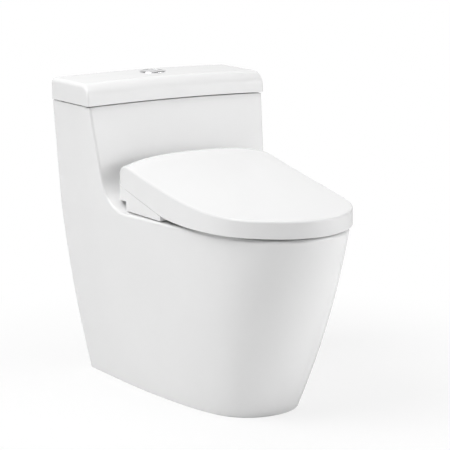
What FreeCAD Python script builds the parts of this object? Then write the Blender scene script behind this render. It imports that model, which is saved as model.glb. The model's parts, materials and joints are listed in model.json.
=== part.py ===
"""One-piece smart toilet with a heated bidet seat.

Frame: the origin is the centre of the floor outlet, on the floor. +Z is up, the bowl points to -Y and
X = 0 is the plane of symmetry. Most places are given as a depth, the distance forward of the back wall
face of the china, which stands BACK behind the outlet. All sizes are millimetres.
"""
import FreeCAD, Part
import math
import os

Vector = FreeCAD.Vector

# ---- driving dimensions: china ----
BACK = 285.0            # china back face behind the outlet axis
WALL = 11.0             # china wall
BASE_HALF = 133.5       # skirt half width on the floor
BASE_LENGTH = 543.0
WAIST_Z = 192.0         # height of the middle skirt section
WAIST_HALF = 172.6
WAIST_LENGTH = 634.0
RIM_HALF = 198.5        # half width and length at the crease below the rim
RIM_LENGTH = 699.0
DECK_Z = 390.0          # flat top of the rim
EDGE_R = 5.6            # soft edge of the rim and of the tank front
CREASE_Z = DECK_Z - EDGE_R - 0.9
CORNER_R = 4.0          # rear vertical corners
TANK_Z = 600.0          # top of the tank at its sides
TANK_HALF = 212.0
TANK_DEPTH = 166.0      # tank depth at its top
ARCH_RISE = 3.8         # the tank top and its lid rise this much in the middle
FRONT_LEAN = 0.178      # tank front runs this far forward per mm down
SWEEP_R = 75.0          # concave sweep from the tank front into the deck
DECK_THICK = 22.0       # china under the deck, and under the tank
BOWL_REAR = 318.0       # bowl mouth
RIM_LAND = 49.0         # flat rim in front of the bowl mouth
BOWL_FRONT = RIM_LENGTH - RIM_LAND
BOWL_HALF = 113.0
TRAP_R = 26.0           # bore of the trapway
TRAP_WALL = 8.0
HORN_Z = 26.0           # the china outlet horn ends this high
WINDOW_HALF = 92.0      # service opening in the back of the skirt
WINDOW_Z = 300.0

# Outline shapes: fraction of the length from the back, fraction of the half width.
BASE_SHAPE = [(0.10, 1.0), (0.20, 1.0), (0.45, 0.977), (0.565, 0.943), (0.665, 0.898), (0.76, 0.838),
              (0.843, 0.757), (0.912, 0.643), (0.96, 0.478), (0.99, 0.255)]
RIM_SHAPE = [(0.10, 1.0), (0.20, 1.0), (0.389, 0.944), (0.509, 0.896), (0.648, 0.834), (0.738, 0.785),
             (0.823, 0.716), (0.890, 0.624), (0.945, 0.486), (0.986, 0.262)]

# ---- tank lid and flush buttons ----
TANK_LID_OVERHANG = 4.0 # front
TANK_LID_SIDE = 2.2     # overhang at the sides
TANK_LID_GAP = 1.2
TANK_LID_HEIGHT = 47.5
TANK_LID_WALL = 9.0
TANK_LID_NOSE_R = 20.0  # rounded top front edge
BUTTON_DEPTH = 60.0     # middle of the flush button
BEZEL_R = 28.5
BEZEL_HEIGHT = 2.6
HOUSING_R = 24.5
BUTTON_R = 22.2
BUTTON_SPLIT = 5.0      # the split line lies off centre: the full flush half is the larger

# ---- seat unit, seat and seat lid ----
UNIT_REAR = 217.5
UNIT_FRONT = 312.0
UNIT_BOTTOM = DECK_Z + 2.6
UNIT_HALF = 172.0       # flanks of the unit, flush with the seat lid
CHEEK_FRONT = 388.0     # pointed front ends of the flanks
CHEEK_IN = UNIT_HALF - 14.0
ARM_IN = UNIT_HALF - 19.0         # hinge arms of the seat, between cover and lid
ARM_OUT = UNIT_HALF - 8.2
COVER_HALF = ARM_IN - 4.0         # the raised middle of the unit, between the hinge arms
NOTCH_FRONT = 248.0     # step at the back of the flanks
NOTCH_Z = 412.0
SHELL = 2.6             # wall of the plastic shells
PIVOT_DEPTH = 228.0     # shared hinge axis of seat and lid
PIVOT_Z = 468.0
PIN_R = 4.0
RUNNING = 0.05          # radial clearance on the hinge pins
LID_REAR = 216.5
LID_OVERHANG = 6.0      # the lid reaches this far past the front of the china
LID_TIP = RIM_LENGTH + LID_OVERHANG
LID_HALF = UNIT_HALF
LID_WALL = 3.0
LID_CORNER_R = 7.0
LID_REAR_R = 18.0       # rounding of the rear top edge
LID_EDGE_R = 5.0
SEAM_REAR_Z = 444.0     # lower edge of the lid at its back
SEAM_BEND = (372.0, 407.0)
LID_BOTTOM_Z = 393.4    # lower edge of the lid at its front
SEAM_GAP = 1.2
SEAT_INSET = 7.0        # seat outline inside the lid outline
SEAT_UNDER_Z = 396.5
SEAT_TOP_REAR = 436.0
SEAT_TOP_FRONT = 415.5
SEAT_EDGE_R = 5.0
SEAT_HOLE_REAR = 372.0
SEAT_OVER_BOWL = 24.0   # the seat covers this much of the bowl mouth in front
SEAT_HOLE_FRONT = BOWL_FRONT - SEAT_OVER_BOWL
SEAT_HOLE_HALF = 100.0
BOLT_DEPTH = 279.0      # seat fixing holes
BOLT_HALF = 77.5
BOLT_HOLE_R = 7.0
NOZZLE_TILT = 25.0      # degrees below the horizontal
NOZZLE_R = 6.5
FREE = 0.4              # clearance between pieces that move past each other

LID_SHAPE = [(0.10, 1.0), (0.27, 0.999), (0.40, 0.995), (0.53, 0.982), (0.64, 0.953), (0.727, 0.905),
             (0.79, 0.845), (0.85, 0.745), (0.902, 0.615), (0.952, 0.435), (0.988, 0.219)]

PARTS = {}


def keep(name, shape):
    """Register a finished piece under its node name."""
    PARTS[name] = shape.removeSplitter()


# ---- small helpers ----
def at(x, depth, z):
    """A point given by its depth from the back of the china."""
    return Vector(x, BACK - depth, z)


def block(x0, x1, depth0, depth1, z0, z1):
    return Part.makeBox(x1 - x0, depth1 - depth0, z1 - z0, at(x0, depth1, z0))


def post(radius, x, depth, z0, z1):
    return Part.makeCylinder(radius, z1 - z0, at(x, depth, z0))


def tube(inner, outer, x, depth, z0, z1):
    return post(outer, x, depth, z0, z1).cut(post(inner, x, depth, z0 - 1, z1 + 1))


def x_post(radius, x0, x1, depth, z):
    return Part.makeCylinder(radius, x1 - x0, at(x0, depth, z), Vector(1, 0, 0))


def x_tube(inner, outer, x0, x1, depth, z):
    return x_post(outer, x0, x1, depth, z).cut(x_post(inner, x0 - 1, x1 + 1, depth, z))


def mirrored(shape):
    return shape.mirror(Vector(0, 0, 0), Vector(1, 0, 0))


def both_sides(shape):
    return shape.fuse(mirrored(shape))


def fuse_all(shapes):
    whole = shapes[0]
    for shape in shapes[1:]:
        whole = whole.fuse(shape)
    return whole


def group(shapes):
    return Part.makeCompound(shapes)


def spline(points, start=None, end=None):
    curve = Part.BSplineCurve()
    if start is None:
        curve.interpolate(Points=points)
    else:
        curve.interpolate(Points=points, InitialTangent=start, FinalTangent=end)
    return curve.toShape()


def side_prism(edges, x0, x1):
    """Extrude a closed side profile, given as edges in the plane X = 0, from x0 to x1."""
    face = Part.Face(Part.Wire(edges))
    face.translate(Vector(x0, 0, 0))
    return face.extrude(Vector(x1 - x0, 0, 0))


def side_polygon(points, x0, x1):
    corners = [at(0, depth, z) for depth, z in points]
    return side_prism(Part.makePolygon(corners + corners[:1]).Edges, x0, x1)


def round_edges(shape, radius, wanted):
    """Fillet the edges whose sample points all pass the test."""
    chosen = []
    for edge in shape.Edges:
        first, last = edge.ParameterRange
        samples = [edge.valueAt(first + (last - first) * k / 4.0) for k in range(5)]
        if all(wanted(p) for p in samples):
            chosen.append(edge)
    return shape.makeFillet(radius, chosen)


def egg_wire(half, length, shape, z, rear=0.0, corner=CORNER_R):
    """Plan outline: a straight back, two corner arcs and one curve round the sides and the front."""
    right = [at(half, rear + corner, z)]
    right += [at(half * across, rear + (length - rear) * along, z) for along, across in shape]
    left = [Vector(-p.x, p.y, p.z) for p in reversed(right)]
    sides = spline(right + [at(0, length, z)] + left, Vector(0, -1, 0), Vector(0, 1, 0))
    bend = corner * (1 - math.sqrt(0.5))
    back = Part.makeLine(at(-half + corner, rear, z), at(half - corner, rear, z))
    arc_right = Part.Arc(at(half - corner, rear, z), at(half - bend, rear + bend, z),
                         at(half, rear + corner, z)).toShape()
    arc_left = Part.Arc(at(-half, rear + corner, z), at(-half + bend, rear + bend, z),
                        at(-half + corner, rear, z)).toShape()
    return Part.Wire([back, arc_right, sides, arc_left])


def oval_wire(rear, front, half, z, power=2.3, count=16):
    """A closed oval between two depths, as a superellipse."""
    middle = (rear + front) / 2.0
    reach = (front - rear) / 2.0
    points = []
    for k in range(count):
        angle = 2 * math.pi * k / count
        cosine, sine = math.cos(angle), math.sin(angle)
        across = math.copysign(abs(cosine) ** (2 / power), cosine)
        along = math.copysign(abs(sine) ** (2 / power), sine)
        points.append(at(half * across, middle + reach * along, z))
    curve = Part.BSplineCurve()
    curve.interpolate(Points=points, PeriodicFlag=True)
    return Part.Wire([curve.toShape()])


def rounded_wire(half, depth0, depth1, radius, z):
    """A rounded rectangle centred on X = 0."""
    bend = radius * (1 - math.sqrt(0.5))
    x, near, far = half, depth0, depth1
    corners = [
        ((x - radius, near), (x - bend, near + bend), (x, near + radius)),
        ((x, far - radius), (x - bend, far - bend), (x - radius, far)),
        ((-x + radius, far), (-x + bend, far - bend), (-x, far - radius)),
        ((-x, near + radius), (-x + bend, near + bend), (-x + radius, near)),
    ]
    edges = []
    for index, corner in enumerate(corners):
        start, middle, end = [at(px, depth, z) for px, depth in corner]
        following = at(*corners[(index + 1) % 4][0], z)
        edges.append(Part.Arc(start, middle, end).toShape())
        edges.append(Part.makeLine(end, following))
    return Part.Wire(edges)


def loft(wires, ruled=False):
    return Part.makeLoft(wires, True, ruled)


def under_arch(z, margin=40.0):
    """Everything below the shallow arch that passes height z at the tank sides."""
    left, right = at(-TANK_HALF, 0, z), at(TANK_HALF, 0, z)
    radius = (TANK_HALF ** 2 + ARCH_RISE ** 2) / (2 * ARCH_RISE)
    centre_z = z + ARCH_RISE - radius

    def height(x):
        return centre_z + math.sqrt(radius ** 2 - x ** 2)

    wide = TANK_HALF + margin
    arc = Part.Arc(at(-wide, -margin, height(wide)), at(0, -margin, z + ARCH_RISE),
                   at(wide, -margin, height(wide))).toShape()
    floor_z = z - 300.0
    outline = [at(wide, -margin, height(wide)), at(wide, -margin, floor_z), at(-wide, -margin, floor_z),
               at(-wide, -margin, height(wide))]
    wire = Part.Wire([arc] + Part.makePolygon(outline).Edges)
    return Part.Face(wire).extrude(Vector(0, -(RIM_LENGTH + 2 * margin), 0))


# ---- china body ----
def tank_front(z):
    """Depth of the tank's leaning front at a height."""
    return TANK_DEPTH + FRONT_LEAN * (TANK_Z - z)


SLANT = math.sqrt(1 + FRONT_LEAN ** 2)
SWEEP_Z = DECK_Z + SWEEP_R
SWEEP_DEPTH = tank_front(SWEEP_Z) + SWEEP_R * SLANT
SWEEP_TOP = (SWEEP_DEPTH - SWEEP_R / SLANT, SWEEP_Z - SWEEP_R * FRONT_LEAN / SLANT)


def sweep_middle():
    along, up = -1 / SLANT, -FRONT_LEAN / SLANT - 1
    size = math.hypot(along, up)
    return (SWEEP_DEPTH + SWEEP_R * along / size, SWEEP_Z + SWEEP_R * up / size)


def upper_profile(top, front):
    """Side profile of tank front, sweep and deck, closed behind the tank and below the crease."""
    sweep = Part.Arc(at(0, *SWEEP_TOP), at(0, *sweep_middle()), at(0, SWEEP_DEPTH, DECK_Z)).toShape()
    behind = -20.0
    rest = [at(0, SWEEP_DEPTH, DECK_Z), at(0, front, DECK_Z), at(0, front, CREASE_Z),
            at(0, behind, CREASE_Z), at(0, behind, top), at(0, tank_front(top), top), at(0, *SWEEP_TOP)]
    return [sweep] + Part.makePolygon(rest).Edges


def on_upper_edge(p):
    """True for points on the soft edge that runs down the tank front and round the rim."""
    depth = BACK - p.y
    if p.z >= SWEEP_TOP[1]:
        gap = abs(depth - tank_front(p.z))
    elif depth < SWEEP_DEPTH:
        gap = abs(math.hypot(depth - SWEEP_DEPTH, p.z - SWEEP_Z) - SWEEP_R)
    else:
        gap = abs(p.z - DECK_Z)
    across = abs(p.x) > 0.7 * TANK_HALF or depth > SWEEP_DEPTH + 1
    return gap < 0.02 and across


def china_outside():
    middle_shape = [((a[0] + b[0]) / 2, (a[1] + b[1]) / 2) for a, b in zip(BASE_SHAPE, RIM_SHAPE)]
    skirt = loft([egg_wire(BASE_HALF, BASE_LENGTH, BASE_SHAPE, 0.0),
                  egg_wire(WAIST_HALF, WAIST_LENGTH, middle_shape, WAIST_Z),
                  egg_wire(RIM_HALF, RIM_LENGTH, RIM_SHAPE, CREASE_Z)])
    top = TANK_Z + 12.0
    slope = (TANK_HALF - RIM_HALF) / (TANK_Z - CREASE_Z)
    upper = loft([egg_wire(RIM_HALF, RIM_LENGTH, RIM_SHAPE, CREASE_Z),
                  egg_wire(TANK_HALF + slope * 12.0, RIM_LENGTH, RIM_SHAPE, top)], ruled=True)
    upper = upper.common(side_prism(upper_profile(top, RIM_LENGTH + 20), -TANK_HALF - 20, TANK_HALF + 20))
    upper = round_edges(upper, EDGE_R, on_upper_edge)
    upper = upper.common(under_arch(TANK_Z))
    return skirt.fuse(upper)


def skirt_hollow():
    middle_shape = [((a[0] + b[0]) / 2, (a[1] + b[1]) / 2) for a, b in zip(BASE_SHAPE, RIM_SHAPE)]
    hollow = loft([egg_wire(BASE_HALF - WALL, BASE_LENGTH - WALL, BASE_SHAPE, 0.0, WALL),
                   egg_wire(WAIST_HALF - WALL, WAIST_LENGTH - WALL, middle_shape, WAIST_Z, WALL),
                   egg_wire(RIM_HALF - WALL, RIM_LENGTH - WALL, RIM_SHAPE, CREASE_Z, WALL)])
    return hollow.cut(block(-300, 300, -20, RIM_LENGTH + 20, DECK_Z - DECK_THICK, DECK_Z + 60))


# Bowl sections: height below the deck, rear and front depth, half width; the last is the sump floor.
BOWL_SECTIONS = [(0.0, BOWL_REAR, BOWL_FRONT, BOWL_HALF), (52.0, 345.0, BOWL_FRONT - 9.0, 106.0),
                 (120.0, 370.0, BOWL_FRONT - 58.0, 82.0), (190.0, 404.0, 530.0, 54.0),
                 (240.0, 424.0, 496.0, 36.0), (282.0, 432.0, 488.0, 27.0)]


def bowl_shape(grow, extra=0.0):
    wires = []
    for drop, rear, front, half in BOWL_SECTIONS:
        z = DECK_Z - drop - (grow if drop == BOWL_SECTIONS[-1][0] else 0.0)
        wires.append(oval_wire(rear - grow, front + grow, half + grow, z))
    whole = loft(wires)
    if extra:
        mouth = Part.Face(oval_wire(BOWL_REAR, BOWL_FRONT, BOWL_HALF, DECK_Z))
        whole = whole.fuse(mouth.extrude(Vector(0, 0, extra)))
    return whole


# Trapway route in the middle plane: depth, height.
TRAP_ROUTE = [(474.0, DECK_Z - 254.0), (400.0, DECK_Z - 254.0), (335.0, DECK_Z - 150.0),
              (BACK, DECK_Z - 175.0), (BACK, HORN_Z)]
TRAP_BEND_R = 35.5


def trap_tube(radius, lower):
    """A round tube along the trapway route, straight runs joined by tangent arcs."""
    corners = [at(0, depth, z) for depth, z in TRAP_ROUTE[:-1]] + [at(0, BACK, lower)]
    edges = []
    start = corners[0]
    for before, corner, after in zip(corners, corners[1:], corners[2:]):
        incoming = (corner - before).normalize()
        outgoing = (after - corner).normalize()
        turn = incoming.getAngle(outgoing)
        reach = TRAP_BEND_R * math.tan(turn / 2)
        arc_start = corner - incoming * reach
        arc_end = corner + outgoing * reach
        inwards = (outgoing - incoming).normalize()
        centre = corner + inwards * (TRAP_BEND_R / math.cos(turn / 2))
        middle = centre - inwards * TRAP_BEND_R
        edges.append(Part.makeLine(start, arc_start))
        edges.append(Part.Arc(arc_start, middle, arc_end).toShape())
        start = arc_end
    edges.append(Part.makeLine(start, corners[-1]))
    profile = Part.Wire([Part.makeCircle(radius, corners[0], Vector(0, 1, 0))])
    return Part.Wire(edges).makePipeShell([profile], True, False)


DUCT_HALF = 36.0
DUCT_TOP = DECK_Z - DECK_THICK - 2.0
DUCT_BOTTOM = DUCT_TOP - 54.0
TANK_FLOOR_Z = DECK_Z - 10.0
VALVE_HOLE_R = 33.0
FILL_X = -100.0
FILL_DEPTH = 72.0
FILL_HOLE_R = 14.0
VALVE_DEPTH = BUTTON_DEPTH + 22    # the flush valve stands a little in front of the button
VALVE_BOLT_X = 56.0
VALVE_BOLT_HOLE_R = 4.5


def tank_hollow():
    low_front = tank_front(SWEEP_TOP[1]) - WALL - 4
    slope = (TANK_HALF - RIM_HALF) / (TANK_Z - CREASE_Z)
    top = TANK_Z + 12
    top_half = TANK_HALF + 12 * slope - WALL
    return loft([rounded_wire(RIM_HALF - WALL, WALL, low_front, 16, TANK_FLOOR_Z),
                 rounded_wire(top_half, WALL, tank_front(top) - WALL, 16, top)], ruled=True)


def duct_block():
    return block(-DUCT_HALF - 10, DUCT_HALF + 10, 30, BOWL_REAR + 24, DUCT_BOTTOM - 10, DUCT_TOP + 4)


TANK_SPLIT = SWEEP_TOP[0] + 8.0     # the tank's share of the casting ends here


def make_china():
    """The one casting, parted into simple regions that meet face to face."""
    outside = china_outside()
    under = DECK_Z - DECK_THICK
    above = block(-300, 300, -20, RIM_LENGTH + 20, under, TANK_Z + 40)
    tank_side = block(-300, 300, -20, TANK_SPLIT, under, TANK_Z + 40)
    upper = outside.common(above)
    bowl = bowl_shape(WALL).cut(above)
    lug = block(78, 130, 96, 150, 0, 14)
    lug = lug.common(loft([egg_wire(BASE_HALF - 3, BASE_LENGTH - 3, BASE_SHAPE, 0.0, 3),
                           egg_wire(BASE_HALF - 3, BASE_LENGTH - 3, BASE_SHAPE, 14.0, 3)], ruled=True))
    skirt = outside.cut(above).cut(skirt_hollow()).fuse(lug).fuse(mirrored(lug))
    ways = [trap_tube(TRAP_R + TRAP_WALL, HORN_Z).cut(bowl), duct_block().cut(above).cut(bowl)]
    regions = {"china_tank": [upper.common(tank_side)], "china_deck": [upper.cut(tank_side)],
               "china_skirt": [skirt], "china_bowl": [bowl], "china_waterways": ways}
    holes = [bowl_shape(0.0, 20.0), trap_tube(TRAP_R, HORN_Z - 5), tank_hollow(),
             block(-DUCT_HALF, DUCT_HALF, 40, BOWL_REAR + 34, DUCT_BOTTOM, DUCT_TOP),
             post(VALVE_HOLE_R, 0, VALVE_DEPTH, DUCT_TOP - 5, TANK_FLOOR_Z + 5),
             post(FILL_HOLE_R, FILL_X, FILL_DEPTH, under - 20, TANK_FLOOR_Z + 5),
             block(-WINDOW_HALF, WINDOW_HALF, -5, WALL + 3, -5, WINDOW_Z)]
    for side in (-1, 1):
        holes.append(post(BOLT_HOLE_R, side * BOLT_HALF, BOLT_DEPTH, under - 5, DECK_Z + 5))
        holes.append(post(VALVE_BOLT_HOLE_R, side * VALVE_BOLT_X, VALVE_DEPTH, under - 20, TANK_FLOOR_Z + 5))
        holes.append(post(FLOOR_HOLE_R, side * FLOOR_BOLT_HALF, FLOOR_BOLT_DEPTH, -5, 30))
    for name, pieces in regions.items():
        for hole in holes:
            pieces = [piece.cut(hole) for piece in pieces]
        keep(name, pieces[0] if len(pieces) == 1 else group(pieces))


FLOOR_BOLT_HALF = 98.0
FLOOR_BOLT_DEPTH = 123.0
FLOOR_HOLE_R = 6.0


def make_outlet():
    """Floor connector: a flanged socket round the china horn, with a rubber ring in the joint."""
    horn = TRAP_R + TRAP_WALL
    plate = tube(TRAP_R + 1, 62, 0, BACK, 0, 6)
    socket = tube(TRAP_R + 1, horn + 9, 0, BACK, 6, HORN_Z - 1)
    cup = tube(horn + 5, horn + 9, 0, BACK, HORN_Z - 1, HORN_Z + 24)
    keep("outlet_adapter", fuse_all([plate, socket, cup]))
    keep("outlet_seal", tube(horn, horn + 5, 0, BACK, HORN_Z + 4, HORN_Z + 20))


# ---- tank lid and buttons ----
LID_BASE_Z = TANK_Z + TANK_LID_GAP
LID_TOP_Z = LID_BASE_Z + TANK_LID_HEIGHT - TANK_LID_GAP


def tank_lid_block(inset):
    """Solid block of the tank lid, shrunk all round and on top by the inset."""
    half = TANK_HALF + TANK_LID_SIDE - inset
    rear = -2.0 + inset
    front = TANK_DEPTH + TANK_LID_OVERHANG - inset
    low = LID_BASE_Z - (8.0 if inset else 0.0)
    top = LID_TOP_Z - inset + ARCH_RISE + 8.0
    plan = Part.Face(rounded_wire(half, rear, front, 13 - inset * 0.6, low - 12)).extrude(Vector(0, 0, 90))
    nose = max(TANK_LID_NOSE_R - inset, 6.0)
    lean = 0.30
    slant = math.sqrt(1 + lean ** 2)
    top_line = LID_TOP_Z - inset + ARCH_RISE
    centre_z = top_line - nose
    centre_depth = front - lean * (centre_z - LID_BASE_Z) - nose * slant
    tangent = (centre_depth + nose / slant, centre_z + nose * lean / slant)
    direction = (1 / slant, lean / slant + 1)
    size = math.hypot(*direction)
    middle = (centre_depth + nose * direction[0] / size, centre_z + nose * direction[1] / size)
    arc = Part.Arc(at(0, *tangent), at(0, *middle), at(0, centre_depth, top_line)).toShape()
    floor_front = front + lean * (LID_BASE_Z - low + 12)
    rest = [at(0, centre_depth, top_line), at(0, centre_depth - 4, top_line), at(0, rear - 5, top),
            at(0, rear - 5, low - 12), at(0, floor_front, low - 12), at(0, *tangent)]
    nose_prism = side_prism([arc] + Part.makePolygon(rest).Edges, -half - 5, half + 5)
    solid = plan.common(nose_prism).common(under_arch(LID_TOP_Z - inset))
    return solid.cut(under_arch(low))


def make_tank_lid():
    outside = tank_lid_block(0.0)
    top_edges = []

    def on_top_rim(p):
        depth = BACK - p.y
        near_side = abs(p.x) > TANK_HALF + TANK_LID_SIDE - 14.5
        near_back = depth < 12.0
        return p.z > LID_TOP_Z - 30 and (near_side or near_back) and depth < TANK_DEPTH - 40

    outside = round_edges(outside, 7.0, on_top_rim)
    lid = outside.cut(tank_lid_block(TANK_LID_WALL))
    seat_z = LID_TOP_Z + ARCH_RISE
    lid = lid.cut(post(HOUSING_R + 0.5, 0, BUTTON_DEPTH, seat_z - 40, seat_z + 10))
    keep("tank_lid", lid)
    pad_x, pad_half = TANK_HALF - 5.5, 3.5
    pads = []
    for side in (-1, 1):
        for depth in (45.0, 120.0):
            x = side * pad_x
            pad = block(x - pad_half, x + pad_half, depth - 8, depth + 8, LID_BASE_Z - 2, LID_BASE_Z + 6)
            pad = pad.cut(under_arch(TANK_Z + 0.3)).common(under_arch(LID_BASE_Z))
            pads.append(pad)
    keep("tank_lid_pads", group(pads))


BUTTON_Z = LID_TOP_Z + ARCH_RISE      # lid surface at the button


def half_disc(radius, low, high, larger):
    """One side of the split round button, parted along a line off the middle."""
    disc = post(radius, 0, BUTTON_DEPTH, low, high)
    edge = BUTTON_SPLIT + (-FREE if larger else FREE)
    if larger:
        side = block(-40, edge, BUTTON_DEPTH - 40, BUTTON_DEPTH + 40, low - 1, high + 1)
    else:
        side = block(edge, 40, BUTTON_DEPTH - 40, BUTTON_DEPTH + 40, low - 1, high + 1)
    return disc.common(side)


FULL_ROD_X = -9.0
HALF_ROD_X = 13.5
ROD_R = 3.0
HOUSING_FLOOR_Z = BUTTON_Z - 20.0
ROD_END_Z = TANK_Z - 38.0


def make_buttons():
    bezel = tube(BUTTON_R + FREE, BEZEL_R, 0, BUTTON_DEPTH, BUTTON_Z, BUTTON_Z + BEZEL_HEIGHT)
    bezel = round_edges(bezel, 1.6, lambda p: p.z > BUTTON_Z + 1 and
                        math.hypot(p.x, BACK - p.y - BUTTON_DEPTH) > BEZEL_R - 0.1)
    keep("button_bezel", bezel)
    housing = tube(BUTTON_R + FREE, HOUSING_R, 0, BUTTON_DEPTH, HOUSING_FLOOR_Z - 2, BUTTON_Z)
    housing_floor = post(HOUSING_R, 0, BUTTON_DEPTH, HOUSING_FLOOR_Z - 2, HOUSING_FLOOR_Z)
    for x in (FULL_ROD_X, HALF_ROD_X):
        housing_floor = housing_floor.cut(post(ROD_R + FREE, x, BUTTON_DEPTH, HOUSING_FLOOR_Z - 9, BUTTON_Z))
    keep("button_housing", housing.fuse(housing_floor))
    nut_top = BUTTON_Z - TANK_LID_WALL - 0.2
    keep("button_nut", tube(HOUSING_R + 0.02, HOUSING_R + 7, 0, BUTTON_DEPTH, nut_top - 7, nut_top))
    for name, x, larger in (("full", FULL_ROD_X, True), ("half", HALF_ROD_X, False)):
        cap = half_disc(BUTTON_R, BUTTON_Z - 7, BUTTON_Z + BEZEL_HEIGHT - 0.4, larger)
        cap = round_edges(cap, 0.8, lambda p: p.z > BUTTON_Z + 1)
        keep(name + "_flush_button", cap)
        keep(name + "_flush_rod", post(ROD_R, x, BUTTON_DEPTH, ROD_END_Z, BUTTON_Z - 7))


# ---- flush valve ----
PORT_R = 27.0
PIPE_R = 10.0
CANISTER_LOW = TANK_FLOOR_Z + 13.0
VALVE_TOP_Z = TANK_Z - 44.0       # top of the flush valve's head
HEAD_LOW_Z = VALVE_TOP_Z - 11.0
OVERFLOW_Z = TANK_Z - 20.0


def make_flush_valve():
    floor_z = TANK_FLOOR_Z
    keep("flush_valve_gasket", tube(VALVE_HOLE_R, 46, 0, VALVE_DEPTH, floor_z, floor_z + 3))
    base = tube(PORT_R, 46, 0, VALVE_DEPTH, floor_z + 3, floor_z + 10)
    reach = VALVE_BOLT_X + 8
    lugs = block(-reach, reach, VALVE_DEPTH - 8, VALVE_DEPTH + 8, floor_z + 3, floor_z + 8)
    lugs = lugs.cut(post(PORT_R, 0, VALVE_DEPTH, floor_z, floor_z + 20))
    shank = tube(PORT_R, VALVE_HOLE_R - 1, 0, VALVE_DEPTH, floor_z - 9, floor_z + 3)
    cross = block(-PORT_R - 1, PORT_R + 1, VALVE_DEPTH - 2, VALVE_DEPTH + 2, floor_z - 9, floor_z - 4)
    cross = cross.fuse(tube(PIPE_R, PIPE_R + 3, 0, VALVE_DEPTH, floor_z - 9, floor_z + 2))
    cross = cross.cut(post(PIPE_R, 0, VALVE_DEPTH, floor_z - 20, floor_z + 20))
    base = fuse_all([base, lugs, shank, cross])
    for angle in (90, 210, 330):
        x = 40 * math.cos(math.radians(angle))
        along = 40 * math.sin(math.radians(angle))
        base = base.fuse(post(3.5, x, VALVE_DEPTH + along, floor_z + 6, HEAD_LOW_Z))
    for side in (-1, 1):
        base = base.cut(post(3.2, side * VALVE_BOLT_X, VALVE_DEPTH, floor_z, floor_z + 20))
    keep("flush_valve_base", base)
    head = post(45, 0, VALVE_DEPTH, HEAD_LOW_Z, VALVE_TOP_Z)
    head = head.cut(post(PIPE_R + FREE, 0, VALVE_DEPTH, HEAD_LOW_Z - 5, VALVE_TOP_Z + 4))
    head = head.cut(tube(18, 34, 0, VALVE_DEPTH, HEAD_LOW_Z - 5, HEAD_LOW_Z + 6))
    keep("flush_valve_head", head)
    keep("overflow_pipe", tube(PIPE_R - 2, PIPE_R, 0, VALVE_DEPTH, floor_z - 8, OVERFLOW_Z))
    cup = tube(24, 31, 0, VALVE_DEPTH, CANISTER_LOW, CANISTER_LOW + 90)
    bottom = post(31, 0, VALVE_DEPTH, CANISTER_LOW, CANISTER_LOW + 4)
    hub = post(PIPE_R + 4, 0, VALVE_DEPTH, CANISTER_LOW, CANISTER_LOW + 60)
    canister = fuse_all([cup, bottom, hub]).cut(post(PIPE_R + FREE, 0, VALVE_DEPTH, 300, TANK_Z))
    keep("flush_valve_canister", canister)
    keep("flush_valve_seal", tube(PIPE_R + 2, 33.5, 0, VALVE_DEPTH, CANISTER_LOW - 2.6, CANISTER_LOW))
    bolts, wings = [], []
    for side in (-1, 1):
        x = side * VALVE_BOLT_X
        bolts.append(post(3, x, VALVE_DEPTH, floor_z - 34, floor_z + 8)
                     .fuse(post(6, x, VALVE_DEPTH, floor_z + 8, floor_z + 12)))
        nut = tube(3, 7, x, VALVE_DEPTH, floor_z - 22, floor_z - 12.4)
        ears = block(x - 2, x + 2, VALVE_DEPTH - 15, VALVE_DEPTH + 15, floor_z - 22, floor_z - 14)
        wings.append(nut.fuse(ears.cut(post(5, x, VALVE_DEPTH, floor_z - 40, floor_z))))
    keep("flush_valve_bolts", group(bolts))
    keep("flush_valve_wing_nuts", group(wings))


# ---- fill valve ----
SUPPLY_R = 10.3
SHOULDER_R = SUPPLY_R + 0.6       # the shank is thicker above its thread
THREAD = 32.0                     # free thread below the nut
COLUMN_Z = TANK_Z - 52.0          # top of the fill valve's column
FLOAT_LOW = COLUMN_Z - 96.0
LEVER_PIN = (FILL_DEPTH + 27.0, COLUMN_Z + 9.0)    # depth and height of the lever's pin
LEVER_PIN_R = 1.5


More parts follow.
